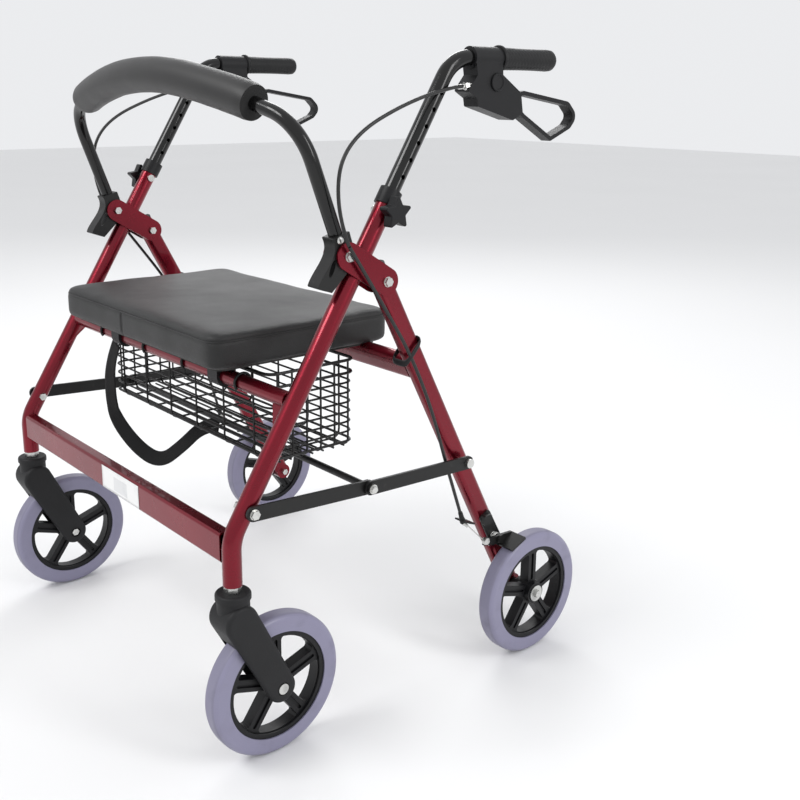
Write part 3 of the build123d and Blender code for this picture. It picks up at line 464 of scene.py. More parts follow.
# ================= Making pieces =================
def make_piece(name, shape, finish, smooth_to=40):
    """Turn a finished shape into a piece with its finish, smooth except at edges past an angle."""
    bmesh.ops.recalc_face_normals(shape, faces=shape.faces[:])
    mesh = bpy.data.meshes.new(name)
    shape.to_mesh(mesh)
    shape.free()
    mesh.materials.append(finish)
    mesh.polygons.foreach_set("use_smooth", [True] * len(mesh.polygons))
    mesh.set_sharp_from_angle(angle=math.radians(smooth_to))
    piece = bpy.data.objects.new(name, mesh)
    scene.collection.objects.link(piece)
    return piece


def smooth_route(points, steps=16):
    """Places along the smooth line that a route's points pull into shape."""
    curve = bpy.data.curves.new("route", "CURVE")
    curve.dimensions = "3D"
    spline = curve.splines.new("NURBS")
    spline.points.add(len(points) - 1)
    for control, place in zip(spline.points, points):
        control.co = (*place, 1)
    spline.order_u = 3
    spline.use_endpoint_u = True
    spline.resolution_u = steps
    holder = bpy.data.objects.new("route", curve)
    mesh = bpy.data.meshes.new_from_object(holder)
    places = [vertex.co.copy() for vertex in mesh.vertices]
    bpy.data.meshes.remove(mesh)
    bpy.data.objects.remove(holder)
    bpy.data.curves.remove(curve)
    return places


def length_of(line):
    return sum((after - before).length for before, after in zip(line, line[1:]))


def rounded(corners, radius, steps=4):
    """A line through corners, with every inner corner rounded."""
    corners = [Vector(corner) for corner in corners]
    line = [corners[0]]
    for before, corner, after in zip(corners, corners[1:], corners[2:]):
        start = corner + (before - corner).normalized() * radius
        end = corner + (after - corner).normalized() * radius
        for step in range(steps + 1):
            share = step / steps
            line.append(start.lerp(corner, share).lerp(corner.lerp(end, share), share))
    line.append(corners[-1])
    return line


def run_tube(shape, line, radius, sides=8, closed=False):
    """Run a round tube along a line. The radius is one number, or one for each place."""
    radii = radius if isinstance(radius, list) else [radius] * len(line)
    heading = (line[1] - line[0]).normalized()
    facing = heading.to_track_quat("Z", "Y").to_matrix().to_4x4()
    ring = bmesh.ops.create_circle(
        shape, segments=sides, radius=radii[0], matrix=Matrix.Translation(line[0]) @ facing
    )["verts"]
    edges = list({edge for vertex in ring for edge in vertex.link_edges})
    first_edges = edges
    for index in range(1, len(line)):
        grown = bmesh.ops.extrude_edge_only(shape, edges=edges)["geom"]
        ring = [item for item in grown if isinstance(item, bmesh.types.BMVert)]
        edges = [item for item in grown if isinstance(item, bmesh.types.BMEdge)]
        bmesh.ops.translate(shape, verts=ring, vec=line[index] - line[index - 1])
        if index + 1 < len(line):
            ahead = (line[index + 1] - line[index]).normalized()
            behind = (line[index] - line[index - 1]).normalized()
            target = (ahead + behind).normalized()
        else:
            target = (line[index] - line[index - 1]).normalized()
        turn = heading.rotation_difference(target).to_matrix()
        bmesh.ops.rotate(shape, verts=ring, cent=line[index], matrix=turn)
        heading = target
        grow = radii[index] / radii[index - 1]
        if abs(grow - 1) > 1e-6:
            around = Matrix.Translation(-line[index])
            bmesh.ops.scale(shape, verts=ring, vec=(grow, grow, grow), space=around)
    if closed:
        bmesh.ops.bridge_loops(shape, edges=first_edges + edges)
    else:
        bmesh.ops.contextual_create(shape, geom=first_edges)
        bmesh.ops.contextual_create(shape, geom=edges)


def turned(shape, profile, centre, axis, sides=32):
    """Turn a profile, a list of places along the axis and radii, about an axis through a centre."""
    centre = Vector(centre)
    axis = Vector(axis).normalized()
    out = axis.orthogonal().normalized()
    corners = [shape.verts.new(centre + axis * along + out * radius) for along, radius in profile]
    edges = [shape.edges.new(pair) for pair in zip(corners, corners[1:])]
    bmesh.ops.spin(
        shape, geom=corners + edges, cent=centre, axis=axis, angle=2 * math.pi, steps=sides, use_merge=True
    )
    bmesh.ops.remove_doubles(shape, verts=shape.verts[:], dist=1e-6)


# ================= Seat =================
COVER_BELOW_BOARD = 0.0045
CUSHION_LOW, CUSHION_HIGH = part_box("seat_cushion")
COVER_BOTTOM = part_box("seat_board")[0][2] - COVER_BELOW_BOARD
CROWN = 0.0025
BASE_INSET = 0.014
BASE_T = 0.0016
BASE_CORNER = 0.018
STAPLES = 15
STAPLE_HALF = 0.005
STAPLE_R = 0.0005
COVER_CORNER = 0.022
COVER_SLACK = 0.004
COVER_VOXEL = 0.005
AIR_PRESSURE = 4
AIR_FRAMES = 20
MOST_SWELL = 0.0024
WELT_DROP = 0.0095
WELT_R = 0.0013
FRONT_SEAM_X = -0.029
STITCHES = 7
STITCH_PITCH = 0.0038
STITCH_LONG = 0.0026
STITCH_ROW = 0.0031
STITCH_R = 0.0004


def cushion_block():
    """The cushion before it fills: a soft-cornered slab a little smaller than the cover."""
    shape = bmesh.new()
    low = Vector((CUSHION_LOW[0] + COVER_SLACK, CUSHION_LOW[1] + COVER_SLACK, COVER_BOTTOM))
    high = Vector([corner - COVER_SLACK for corner in CUSHION_HIGH])
    bmesh.ops.create_cube(shape, size=1)
    bmesh.ops.scale(shape, verts=shape.verts, vec=high - low)
    bmesh.ops.translate(shape, verts=shape.verts, vec=(low + high) / 2)
    posts = [edge for edge in shape.edges if abs(edge.verts[0].co.z - edge.verts[1].co.z) > 0.01]
    bmesh.ops.bevel(
        shape, geom=posts, offset=COVER_CORNER, offset_type="OFFSET", affect="EDGES",
        segments=8, profile=0.5, material=-1,
    )
    for height, radius in ((high.z, 0.008), (low.z, 0.004)):
        rim = [
            edge for edge in shape.edges
            if all(abs(vertex.co.z - height) < 1e-5 for vertex in edge.verts)
        ]
        bmesh.ops.bevel(
            shape, geom=rim, offset=radius, offset_type="OFFSET", affect="EDGES",
            segments=4, profile=0.5, material=-1,
        )
    return shape


def fill_out(piece):
    """Swell a padded piece with air pressure, and hold every point near where it began."""
    remesh = piece.modifiers.new("even", "REMESH")
    remesh.mode = "VOXEL"
    remesh.voxel_size = COVER_VOXEL
    keep_modifiers(piece)
    rest = [vertex.co.copy() for vertex in piece.data.vertices]
    cloth = piece.modifiers.new("air", "CLOTH")
    cloth.settings.use_pressure = True
    cloth.settings.uniform_pressure_force = AIR_PRESSURE
    cloth.settings.effector_weights.gravity = 0
    cloth.point_cache.frame_start = 1
    cloth.point_cache.frame_end = AIR_FRAMES
    for step in range(1, AIR_FRAMES + 1):
        scene.frame_set(step)
        bpy.context.view_layer.update()
    keep_modifiers(piece)
    scene.frame_set(1)
    for vertex, before in zip(piece.data.vertices, rest):
        move = vertex.co - before
        if move.length > MOST_SWELL:
            vertex.co = before + move.normalized() * MOST_SWELL


def keep_modifiers(piece):
    """Make what the modifiers give the piece's own mesh."""
    seen = piece.evaluated_get(bpy.context.evaluated_depsgraph_get())
    mesh = bpy.data.meshes.new_from_object(seen)
    piece.modifiers.clear()
    piece.data = mesh
    bpy.context.view_layer.update()


def smooth_out(piece, rounds, factor=0.5):
    """Ease small lumps out of a mesh."""
    shape = bmesh.new()
    shape.from_mesh(piece.data)
    for _ in range(rounds):
        bmesh.ops.smooth_vert(
            shape, verts=shape.verts, factor=factor, use_axis_x=True, use_axis_y=True, use_axis_z=True
        )
    shape.to_mesh(piece.data)
    shape.free()


def fit_between(piece, low, high):
    """Draw a mesh out so that it just fills the room between two corners."""
    places = [vertex.co for vertex in piece.data.vertices]
    for axis in range(3):
        least = min(place[axis] for place in places)
        most = max(place[axis] for place in places)
        for place in places:
            place[axis] = low[axis] + (place[axis] - least) * (high[axis] - low[axis]) / (most - least)


SIDE_FROM = (0.225, 0.145)
FRONT_FROM = 0.13
WELT_SEAM = (0.0016, 0.0022)
FRONT_SEAM = (0.0017, 0.0024)
TOP_CREASE = 0.0011
TOP_RIPPLE = 0.00035
SIDE_CREASE = 0.0009
SIDE_RIPPLE = 0.0005


def dip(distance, width):
    """How deep a seam is at a distance from its line, from one at the line to nought."""
    return math.exp(-(distance / width) ** 2)


def sew_cover(piece):
    """Sink the seam under the top edge and the upright seam on the front, and crease the top softly."""
    mid = Vector(((CUSHION_LOW[0] + CUSHION_HIGH[0]) / 2, (CUSHION_LOW[1] + CUSHION_HIGH[1]) / 2, 0))
    seam_z = CUSHION_HIGH[2] - WELT_DROP
    for vertex in piece.data.vertices:
        place = vertex.co
        inward = Vector((mid.x - place.x, mid.y - place.y, 0)).normalized()
        side = max(abs(place.x - mid.x) / SIDE_FROM[0], abs(place.y - mid.y) / SIDE_FROM[1]) > 1
        if side:
            place += inward * WELT_SEAM[0] * dip(place.z - seam_z, WELT_SEAM[1])
        if side and place.y < mid.y - FRONT_FROM and place.z < seam_z:
            place += Vector((0, FRONT_SEAM[0], 0)) * dip(place.x - FRONT_SEAM_X, FRONT_SEAM[1])
        crease = noise.noise(Vector((place.x * 9, place.y * 9, 1.7)))
        fine = noise.noise(Vector((place.x * 34, place.y * 34, place.z * 20 + 4.1)))
        if place.z > seam_z:
            place.z += TOP_CREASE * crease + TOP_RIPPLE * fine
        elif side:
            place += inward * (SIDE_CREASE * crease + SIDE_RIPPLE * fine)


OUTLINE_AWAY = 0.03
CORNER_STEPS = 10
EDGE_STEPS = 24


def cover_outline():
    """Places round the seat's outline, outside the cover, and the way in from each."""
    half_x = (CUSHION_HIGH[0] - CUSHION_LOW[0]) / 2 + OUTLINE_AWAY
    half_y = (CUSHION_HIGH[1] - CUSHION_LOW[1]) / 2 + OUTLINE_AWAY
    mid_x = (CUSHION_HIGH[0] + CUSHION_LOW[0]) / 2
    mid_y = (CUSHION_HIGH[1] + CUSHION_LOW[1]) / 2
    corner = COVER_CORNER + OUTLINE_AWAY
    centres = (
        (half_x - corner, half_y - corner),
        (corner - half_x, half_y - corner),
        (corner - half_x, corner - half_y),
        (half_x - corner, corner - half_y),
    )
    for turn, (x, y) in enumerate(centres):
        for step in range(CORNER_STEPS + 1):
            angle = math.radians(90 * (turn + step / CORNER_STEPS))
            way = Vector((math.cos(angle), math.sin(angle), 0))
            yield Vector((mid_x + x, mid_y + y, 0)) + way * corner, -way
        after = centres[(turn + 1) % 4]
        for step in range(1, EDGE_STEPS):
            share = step / EDGE_STEPS
            x_along = x + (after[0] - x) * share
            y_along = y + (after[1] - y) * share
            yield Vector((mid_x + x_along, mid_y + y_along, 0)) + way * corner, -way


def make_seat_base():
    """The board that closes the cover underneath, with its edge eased and a row of staples along its front
    and its rear.
    """
    shape = bmesh.new()
    width = CUSHION_HIGH[0] - CUSHION_LOW[0] - 2 * BASE_INSET
    depth = CUSHION_HIGH[1] - CUSHION_LOW[1] - 2 * BASE_INSET
    middle = ((CUSHION_LOW[0] + CUSHION_HIGH[0]) / 2, (CUSHION_LOW[1] + CUSHION_HIGH[1]) / 2, COVER_BOTTOM)
    bmesh.ops.create_cube(shape, size=1)
    bmesh.ops.scale(shape, verts=shape.verts, vec=(width, depth, 2 * BASE_T))
    bmesh.ops.translate(shape, verts=shape.verts, vec=middle)
    posts = [edge for edge in shape.edges if abs(edge.verts[0].co.z - edge.verts[1].co.z) > 0.001]
    bmesh.ops.bevel(
        shape, geom=posts, offset=BASE_CORNER, offset_type="OFFSET", affect="EDGES",
        segments=6, profile=0.5, material=-1,
    )
    half = Vector((STAPLE_HALF, 0, 0))
    for row in range(STAPLES):
        for y in (-1, 1):
            x = middle[0] + width * (row / (STAPLES - 1) - 0.5) * 0.92
            place = Vector((x, middle[1] + y * (depth / 2 - 0.006), COVER_BOTTOM - BASE_T - 0.0002))
            run_tube(shape, [place - half, place + half], STAPLE_R, sides=6)
    return make_piece("seat_base", shape, FINISHES["board"], 35)


def make_seat():
    """The padded seat cover, with a welt below its top edge and stitches down the front seam."""
    cover = make_piece("seat_cover", cushion_block(), FINISHES["seat_vinyl"])
    fill_out(cover)
    smooth_out(cover, 4)
    top = CUSHION_HIGH[2] + CROWN
    low = (CUSHION_LOW[0], CUSHION_LOW[1], COVER_BOTTOM)
    fit_between(cover, low, (CUSHION_HIGH[0], CUSHION_HIGH[1], top))
    refine = cover.modifiers.new("finer", "SUBSURF")
    refine.levels = 1
    refine.render_levels = 1
    keep_modifiers(cover)
    sew_cover(cover)
    cover.data.polygons.foreach_set("use_smooth", [True] * len(cover.data.polygons))
    surface = bmesh.new()
    surface.from_mesh(cover.data)
    tree = BVHTree.FromBMesh(surface)
    seam_z = CUSHION_HIGH[2] - WELT_DROP
    line = []
    for start, way in cover_outline():
        hit = tree.ray_cast(Vector((start.x, start.y, seam_z)), way)[0]
        line.append(hit + way * -0.0002)
    shape = bmesh.new()
    run_tube(shape, line, WELT_R, sides=6, closed=True)
    welt = make_piece("seat_welt", shape, FINISHES["seat_vinyl"], 80)
    shape = bmesh.new()
    for row in (-1, 1):
        for stitch in range(STITCHES):
            high = seam_z - 0.003 - stitch * STITCH_PITCH
            ends = []
            for z in (high, high - STITCH_LONG):
                x = FRONT_SEAM_X + row * STITCH_ROW
                hit = tree.ray_cast(Vector((x, CUSHION_LOW[1] - 0.05, z)), Vector((0, 1, 0)))[0]
                ends.append(hit + Vector((0, -0.0001, 0)))
            run_tube(shape, ends, STITCH_R, sides=6)
    stitches = make_piece("seat_stitches", shape, THREAD, 80)
    surface.free()
    base = make_seat_base()
    for piece in (cover, welt, stitches, base):
        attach(piece, "seat")
    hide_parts("seat_cushion")
    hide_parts("seat_board")


make_seat()


# ================= Backrest =================
PAD_ROUTE = [
    (0.242, -0.1844, 0.8558),
    (0.110, -0.2043, 0.8920),
    (-0.110, -0.2043, 0.8920),
    (-0.242, -0.1844, 0.8558),
]
PAD_R = 0.0245
END_EASE = 0.0012
END_EASE_LONG = 0.003
PAD_WAVE = 0.0009
PAD_RIPPLE = 0.0003
PAD_SAG_WAY = Vector((0, -0.35, -1))


def make_backrest_pad():
    """The foam sleeve on the backrest bar: slightly uneven, with its ends cut square and eased."""
    line = smooth_route(PAD_ROUTE, 24)
    total = length_of(line)
    radii = []
    gone = 0.0
    before = line[0]
    for place in line:
        gone += (place - before).length
        before = place
        near = min(gone, total - gone)
        radii.append(PAD_R - END_EASE * max(0.0, 1 - near / END_EASE_LONG) ** 2)
    shape = bmesh.new()
    run_tube(shape, line, radii, sides=48)
    pad = make_piece("backrest_sleeve", shape, FINISHES["foam"], 60)
    pad.data.materials.append(FINISHES["cut_foam"])
    for face in pad.data.polygons:
        face.material_index = 1 if len(face.vertices) > 4 else 0
    for vertex in pad.data.vertices:
        place = vertex.co
        push = noise.noise(place * 11) * PAD_WAVE + noise.noise(place * 38) * PAD_RIPPLE
        vertex.co = place + PAD_SAG_WAY * push
    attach(pad, "backrest")
    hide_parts("backrest_pad")


make_backrest_pad()


# ================= Basket =================
BASKET_LOW, BASKET_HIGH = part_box("basket")
WIRE_R = 0.0017
FRAME_WIRE_R = 0.0024
BASKET_CORNER = 0.014
RING_CORNER = 0.018
RIM_GAP = 0.019
FLOOR_LIFT = 0.006
RUNNER_SHORT = 0.004
THICKER = 1.3
FRONT_UPRIGHTS = 6
SIDE_UPRIGHTS = 6
WALL_ROWS = 7
FLOOR_ROWS = 8


def basket_ring(z, shrink=0.0):
    """A closed rounded loop of the basket at a height."""
    x = BASKET_HIGH[0] - FRAME_WIRE_R - shrink
    front = BASKET_LOW[1] + FRAME_WIRE_R + shrink
    rear = BASKET_HIGH[1] - FRAME_WIRE_R - shrink
    corners = [(0, front, z), (x, front, z), (x, rear, z), (-x, rear, z), (-x, front, z), (0, front, z)]
    return rounded(corners, RING_CORNER)[:-1]


def make_basket():
    """The wire basket: rings round it, uprights that cross under it, and runners along its floor."""
    shape = bmesh.new()
    bottom = BASKET_LOW[2] + FRAME_WIRE_R
    top = BASKET_HIGH[2] - FRAME_WIRE_R
    for z, radius in ((top, FRAME_WIRE_R), (top - RIM_GAP, WIRE_R * THICKER)):
        run_tube(shape, basket_ring(z), radius, sides=8, closed=True)
    for row in range(1, WALL_ROWS):
        z = top - RIM_GAP - (top - RIM_GAP - bottom - FLOOR_LIFT) * row / WALL_ROWS
        run_tube(shape, basket_ring(z, WIRE_R), WIRE_R, sides=6, closed=True)
    run_tube(shape, basket_ring(bottom + FLOOR_LIFT, WIRE_R), WIRE_R * THICKER, sides=6, closed=True)
    half = BASKET_HIGH[0] - FRAME_WIRE_R
    front = BASKET_LOW[1] + FRAME_WIRE_R
    rear = BASKET_HIGH[1] - FRAME_WIRE_R
    for index in range(FRONT_UPRIGHTS):
        x = half * (2 * (index + 0.5) / FRONT_UPRIGHTS - 1)
        corners = [(x, front, top), (x, front, bottom), (x, rear, bottom), (x, rear, top)]
        run_tube(shape, rounded(corners, BASKET_CORNER), WIRE_R, sides=6)
    for index in range(SIDE_UPRIGHTS):
        y = front + BASKET_CORNER + (rear - front - 2 * BASKET_CORNER) * index / (SIDE_UPRIGHTS - 1)
        corners = [(-half, y, top), (-half, y, bottom), (half, y, bottom), (half, y, top)]
        run_tube(shape, rounded(corners, BASKET_CORNER), WIRE_R, sides=6)
    for index in range(1, FLOOR_ROWS):
        y = front + (rear - front) * index / FLOOR_ROWS
        end = half - RUNNER_SHORT
        run_tube(shape, [Vector((-end, y, bottom)), Vector((end, y, bottom))], WIRE_R, sides=6)
    basket = make_piece("basket_wires", shape, FINISHES["basket_wire"], 80)
    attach(basket, "front_frame")
    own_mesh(basket)
    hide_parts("basket")


make_basket()


BAR_LOW, BAR_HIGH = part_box("seat_crossbar")
HOOK_XS = (-0.205, -0.060, 0.060, 0.205)
HOOK_WIRE_R = 0.0021
HOOK_STEPS = 15
HOOK_START_DEG = 8
HOOK_STEP_DEG = 15
HOOK_LOW_END = 0.024


def make_basket_hooks():
    """Wire hooks that hang the basket's front on the bar under the seat."""
    centre_y = (BAR_LOW[1] + BAR_HIGH[1]) / 2
    centre_z = (BAR_LOW[2] + BAR_HIGH[2]) / 2
    reach = (BAR_HIGH[2] - BAR_LOW[2]) / 2 + 0.0022
    shape = bmesh.new()
    for x in HOOK_XS:
        line = [Vector((x, BASKET_LOW[1] + FRAME_WIRE_R, BASKET_HIGH[2] - HOOK_LOW_END))]
        for step in range(HOOK_STEPS):
            angle = math.radians(HOOK_START_DEG + step * HOOK_STEP_DEG)
            line.append(Vector((x, centre_y + reach * math.cos(angle), centre_z + reach * math.sin(angle))))
        run_tube(shape, line, HOOK_WIRE_R, sides=8)
    hooks = make_piece("basket_hooks", shape, FINISHES["basket_wire"], 80)
    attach(hooks, "front_frame")


make_basket_hooks()


# ================= Pull-up strap =================
STRAP_ROUTE = [
    (-0.178, -0.189, 0.467),
    (-0.203, -0.191, 0.430),
    (-0.212, -0.190, 0.370),
    (-0.214, -0.182, 0.325),
    (-0.180, -0.160, 0.276),
    (-0.140, -0.140, 0.258),
    (-0.106, -0.118, 0.290),
    (-0.076, -0.093, 0.330),
    (-0.040, -0.083, 0.3395),
]
STRAP_W = 0.025
STRAP_T = 0.0016
STRAP_COLUMNS = 6
STRAP_FACING = Vector((0.3, -0.8, 0.5)).normalized()


def make_strap():
    """The webbing strap from the seat bar to the brace rod, with its weave along it."""
    line = smooth_route(STRAP_ROUTE, 14)
    shape = bmesh.new()
    uv = shape.loops.layers.uv.new("weave")
    grid = bmesh.ops.create_grid(
        shape, x_segments=len(line) - 1, y_segments=STRAP_COLUMNS, size=1
    )["verts"]
    gone = [0.0]
    for before, after in zip(line, line[1:]):
        gone.append(gone[-1] + (after - before).length)
    shares = {}
    for vertex in grid:
        station = round((vertex.co.x + 1) / 2 * (len(line) - 1))
        share = (vertex.co.y + 1) / 2
        ahead = line[min(station + 1, len(line) - 1)] - line[max(station - 1, 0)]
        across = ahead.cross(STRAP_FACING).normalized()
        vertex.co = line[station] + across * STRAP_W * (share - 0.5)
        shares[vertex] = (share, gone[station])
    for face in shape.faces:
        for loop in face.loops:
            loop[uv].uv = shares[loop.vert]
    strap = make_piece("pull_strap", shape, FINISHES["webbing"], 80)
    thick = strap.modifiers.new("thick", "SOLIDIFY")
    thick.thickness = STRAP_T
    thick.offset = 0
    keep_modifiers(strap)
    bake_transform(strap)
    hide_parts("fold_strap")


make_strap()


# ================= Brake cables =================
CABLE_R = 0.0025
UPPER_ROUTE = [
    (0.3340, 0.0946, 0.8800),
    (0.3360, 0.0800, 0.8795),
    (0.3422, 0.0560, 0.8760),
    (0.3425, 0.0160, 0.8675),
    (0.3428, -0.0340, 0.8510),
    (0.3435, -0.0860, 0.8280),
    (0.3445, -0.1190, 0.8000),
    (0.3460, -0.1330, 0.7660),
    (0.3485, -0.1310, 0.7140),
    (0.3500, -0.1180, 0.6820),
]
LOWER_ROUTE = [
    (0.3499, -0.1172, 0.6808),
    (0.3485, -0.0840, 0.6340),
    (0.3440, -0.0480, 0.5850),
    (0.3400, -0.0060, 0.5260),
    (0.3392, 0.0290, 0.4570),
    (0.3392, 0.0510, 0.4010),
    (0.3394, 0.0670, 0.3520),
    (0.3425, 0.0840, 0.3000),
    (0.3460, 0.1010, 0.2460),
]


def make_cable(name, route, sign, node):
    """One length of brake cable: a tube along its route, held by no body."""
    line = smooth_route([(x * sign, y, z) for x, y, z in route])
    shape = bmesh.new()
    run_tube(shape, line, CABLE_R, sides=12)
    cable = make_piece(name, shape, FINISHES["cable_black"], 80)
    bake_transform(cable)
    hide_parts(node)


for side, sign in SIDES:
    make_cable("brake_cable_upper_" + side, UPPER_ROUTE, sign, "cable_upper_" + side)
    make_cable("brake_cable_lower_" + side, LOWER_ROUTE, sign, "cable_lower_" + side)


# ================= Handles =================
GRIP_FLANGE = 0.0185
GRIP_BODY = 0.0152
GRIP_START = 0.0072
GRIP_END = 0.010
GRIP_ROWS = 44
GRIP_SIDES = 56
FACETS = 7
FACET_PITCH = 0.0145
FACET_DEEP = 0.0009


def make_grip(side):
    """A rubber grip with a flange in front, a diamond pattern and a domed end."""
    low, high = (Vector(corner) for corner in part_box("grip_" + side))
    centre = Vector(((low.x + high.x) / 2, low.y, (low.z + high.z) / 2))
    length = high.y - low.y
    profile = [
        (0.0, 0.0127), (0.0, 0.0175), (0.0012, GRIP_FLANGE), (0.0042, GRIP_FLANGE), (0.0056, 0.0170),
    ]
    for row in range(GRIP_ROWS + 1):
        share = row / GRIP_ROWS
        along = GRIP_START + (length - GRIP_START - GRIP_END) * share
        profile.append((along, GRIP_BODY - 0.0007 * math.sin(math.pi * share)))
    profile += [
        (length - 0.0060, 0.0148), (length - 0.0026, 0.0126), (length - 0.0006, 0.0080), (length, 0.0),
    ]
    shape = bmesh.new()
    turned(shape, profile, centre, (0, 1, 0), GRIP_SIDES)
    for vertex in shape.verts:
        offset = vertex.co - centre
        out = Vector((offset.x, 0, offset.z))
        if 0.009 < offset.y < length - 0.012 and out.length > 0.001:
            angle = math.atan2(offset.z, offset.x)
            twist = offset.y * FACETS / FACET_PITCH
            ridge = abs(math.sin(FACETS * angle / 2 + twist)) + abs(math.sin(FACETS * angle / 2 - twist))
            vertex.co += out.normalized() * FACET_DEEP * (ridge / 2 - 0.35)
    grip = make_piece("hand_grip_" + side, shape, FINISHES["grip_rubber"], 50)
    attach(grip, "handle_" + side)
    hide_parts("grip_" + side)


ADJUSTER = [
    (-0.011, 0), (-0.011, 0.0033), (-0.001, 0.0036), (-0.001, 0.0052), (0, 0.0056),
    (0.006, 0.0056), (0.007, 0.0050), (0.007, 0.0038), (0.011, 0.0038), (0.011, 0),
]
BOSS = [
    (-0.003, 0), (-0.003, 0.0125), (0.0008, 0.0125), (0.0018, 0.0118), (0.0018, 0.0098),
    (0.0008, 0.0092), (0.0006, 0),
]
BOSS_Y = 0.152
BOSS_Z = 0.886


def make_lever_fittings(side, sign):
    """The cable adjuster in front of a brake lever's housing, and the blank boss on its outer face."""
    x, y, z = UPPER_ROUTE[0]
    shape = bmesh.new()
    turned(shape, ADJUSTER, (x * sign, y, z), (0.1 * sign, 1, 0.12), 6)
    barrel = make_piece("cable_adjuster_" + side, shape, FINISHES["zinc"], 25)
    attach(barrel, "handle_" + side)
    low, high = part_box("lever_housing_" + side)
    face = high[0] if sign > 0 else low[0]
    shape = bmesh.new()
    turned(shape, BOSS, (face, BOSS_Y, BOSS_Z), (sign, 0, 0), 40)
    boss = make_piece("lever_boss_" + side, shape, FINISHES["black_plastic"], 30)
    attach(boss, "handle_" + side)


for side, sign in SIDES:
    make_grip(side)
    make_lever_fittings(side, sign)


# ================= Small fittings =================
BOLT_DOME = [
    (-0.004, 0), (-0.004, 0.0052), (0.0006, 0.0052), (0.0020, 0.0040), (0.0026, 0.0018), (0.0026, 0),
]
BRACKET_BOLT_Y = -0.122
BRACKET_BOLT_Z = 0.688


def make_bracket_bolt(side, sign):
    """The small domed bolt that holds a backrest bracket to its tube."""
    low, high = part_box("back_brackets")
    face = high[0] if sign > 0 else low[0]
    shape = bmesh.new()
    turned(shape, BOLT_DOME, (face, BRACKET_BOLT_Y, BRACKET_BOLT_Z), (sign, 0, 0), 24)
    bolt = make_piece("bracket_bolt_" + side, shape, FINISHES["zinc"], 30)
    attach(bolt, "backrest")


CLIP_PLACE = (0.326, 0.0025, 0.523)
REAR_LEG_DOWN = Vector((0, 0.388, -0.9217)).normalized()
CLIP_HALF = 0.0152
CLIP_CORNER = 0.008
CLIP_BAND_R = 0.0018
CLIP_BAND_TALL = 2.6


def make_cable_clip(side, sign):
    """The black band that holds the brake cable to the rear leg."""
    centre = Vector((CLIP_PLACE[0] * sign, CLIP_PLACE[1], CLIP_PLACE[2]))
    wide = Vector((1, 0, 0))
    deep = REAR_LEG_DOWN.cross(wide)
    corners = []
    for x, y in ((0, 1), (1, 1), (1, -1), (-1, -1), (-1, 1), (0, 1)):
        corners.append(centre + wide * x * CLIP_HALF + deep * y * CLIP_HALF)
    shape = bmesh.new()
    run_tube(shape, rounded(corners, CLIP_CORNER)[:-1], CLIP_BAND_R, sides=8, closed=True)
    tall = (1, 1, CLIP_BAND_TALL)
    bmesh.ops.scale(shape, verts=shape.verts, vec=tall, space=Matrix.Translation(-centre))
    clip = make_piece("cable_clip_" + side, shape, FINISHES["black_plastic"], 50)
    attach(clip, "rear_frame")


BRACE_MIDDLE = (-0.0813, 0.3469)
CABLE_STOP = Vector((0.3463, 0.1010, 0.2462))
ARM_TIP = Vector((0.3500, 0.1455, 0.2022))
LINK_WASHER = [(0, 0), (0, 0.0068), (0.0012, 0.0068), (0.0012, 0)]
LINK_NUT = [(0.0010, 0), (0.0010, 0.0055), (0.0042, 0.0055), (0.0052, 0.0044), (0.0052, 0)]
CABLE_FERRULE = [
    (-0.016, 0), (-0.016, 0.0034), (-0.004, 0.0040), (-0.004, 0.0046), (0.002, 0.0046), (0.002, 0),
]
CABLE_BARREL = [
    (0, 0), (0, 0.0040), (0.004, 0.0040), (0.004, 0.0028), (0.012, 0.0028), (0.012, 0.0016), (0.013, 0),
]
WIRE_CLAMP = [
    (-0.004, 0), (-0.004, 0.0052), (-0.0030, 0.0060), (0.0030, 0.0060), (0.004, 0.0052), (0.004, 0),
]
INNER_WIRE_R = 0.0009
TAB_SIZE = (0.020, 0.026, 0.0026)
TAB_TILT = Matrix.Rotation(math.radians(-22), 3, "X")
SPRING_X = (0.3335, 0.3470)
SPRING_CENTRE = (0.1766, 0.1982)
SPRING_R = 0.0068
SPRING_TURNS = 8
SPRING_STEPS = 96


def make_link_nut(side, sign):
    """The zinc cap nut and washer where the two brace links meet."""
    low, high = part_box("rear_links")
    face = high[0] if sign > 0 else low[0]
    shape = bmesh.new()
    turned(shape, LINK_WASHER, (face, *BRACE_MIDDLE), (sign, 0, 0), 28)
    turned(shape, LINK_NUT, (face, *BRACE_MIDDLE), (sign, 0, 0), 6)
    nut = make_piece("link_nut_" + side, shape, FINISHES["zinc"], 25)
    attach(nut, "brace_rear")


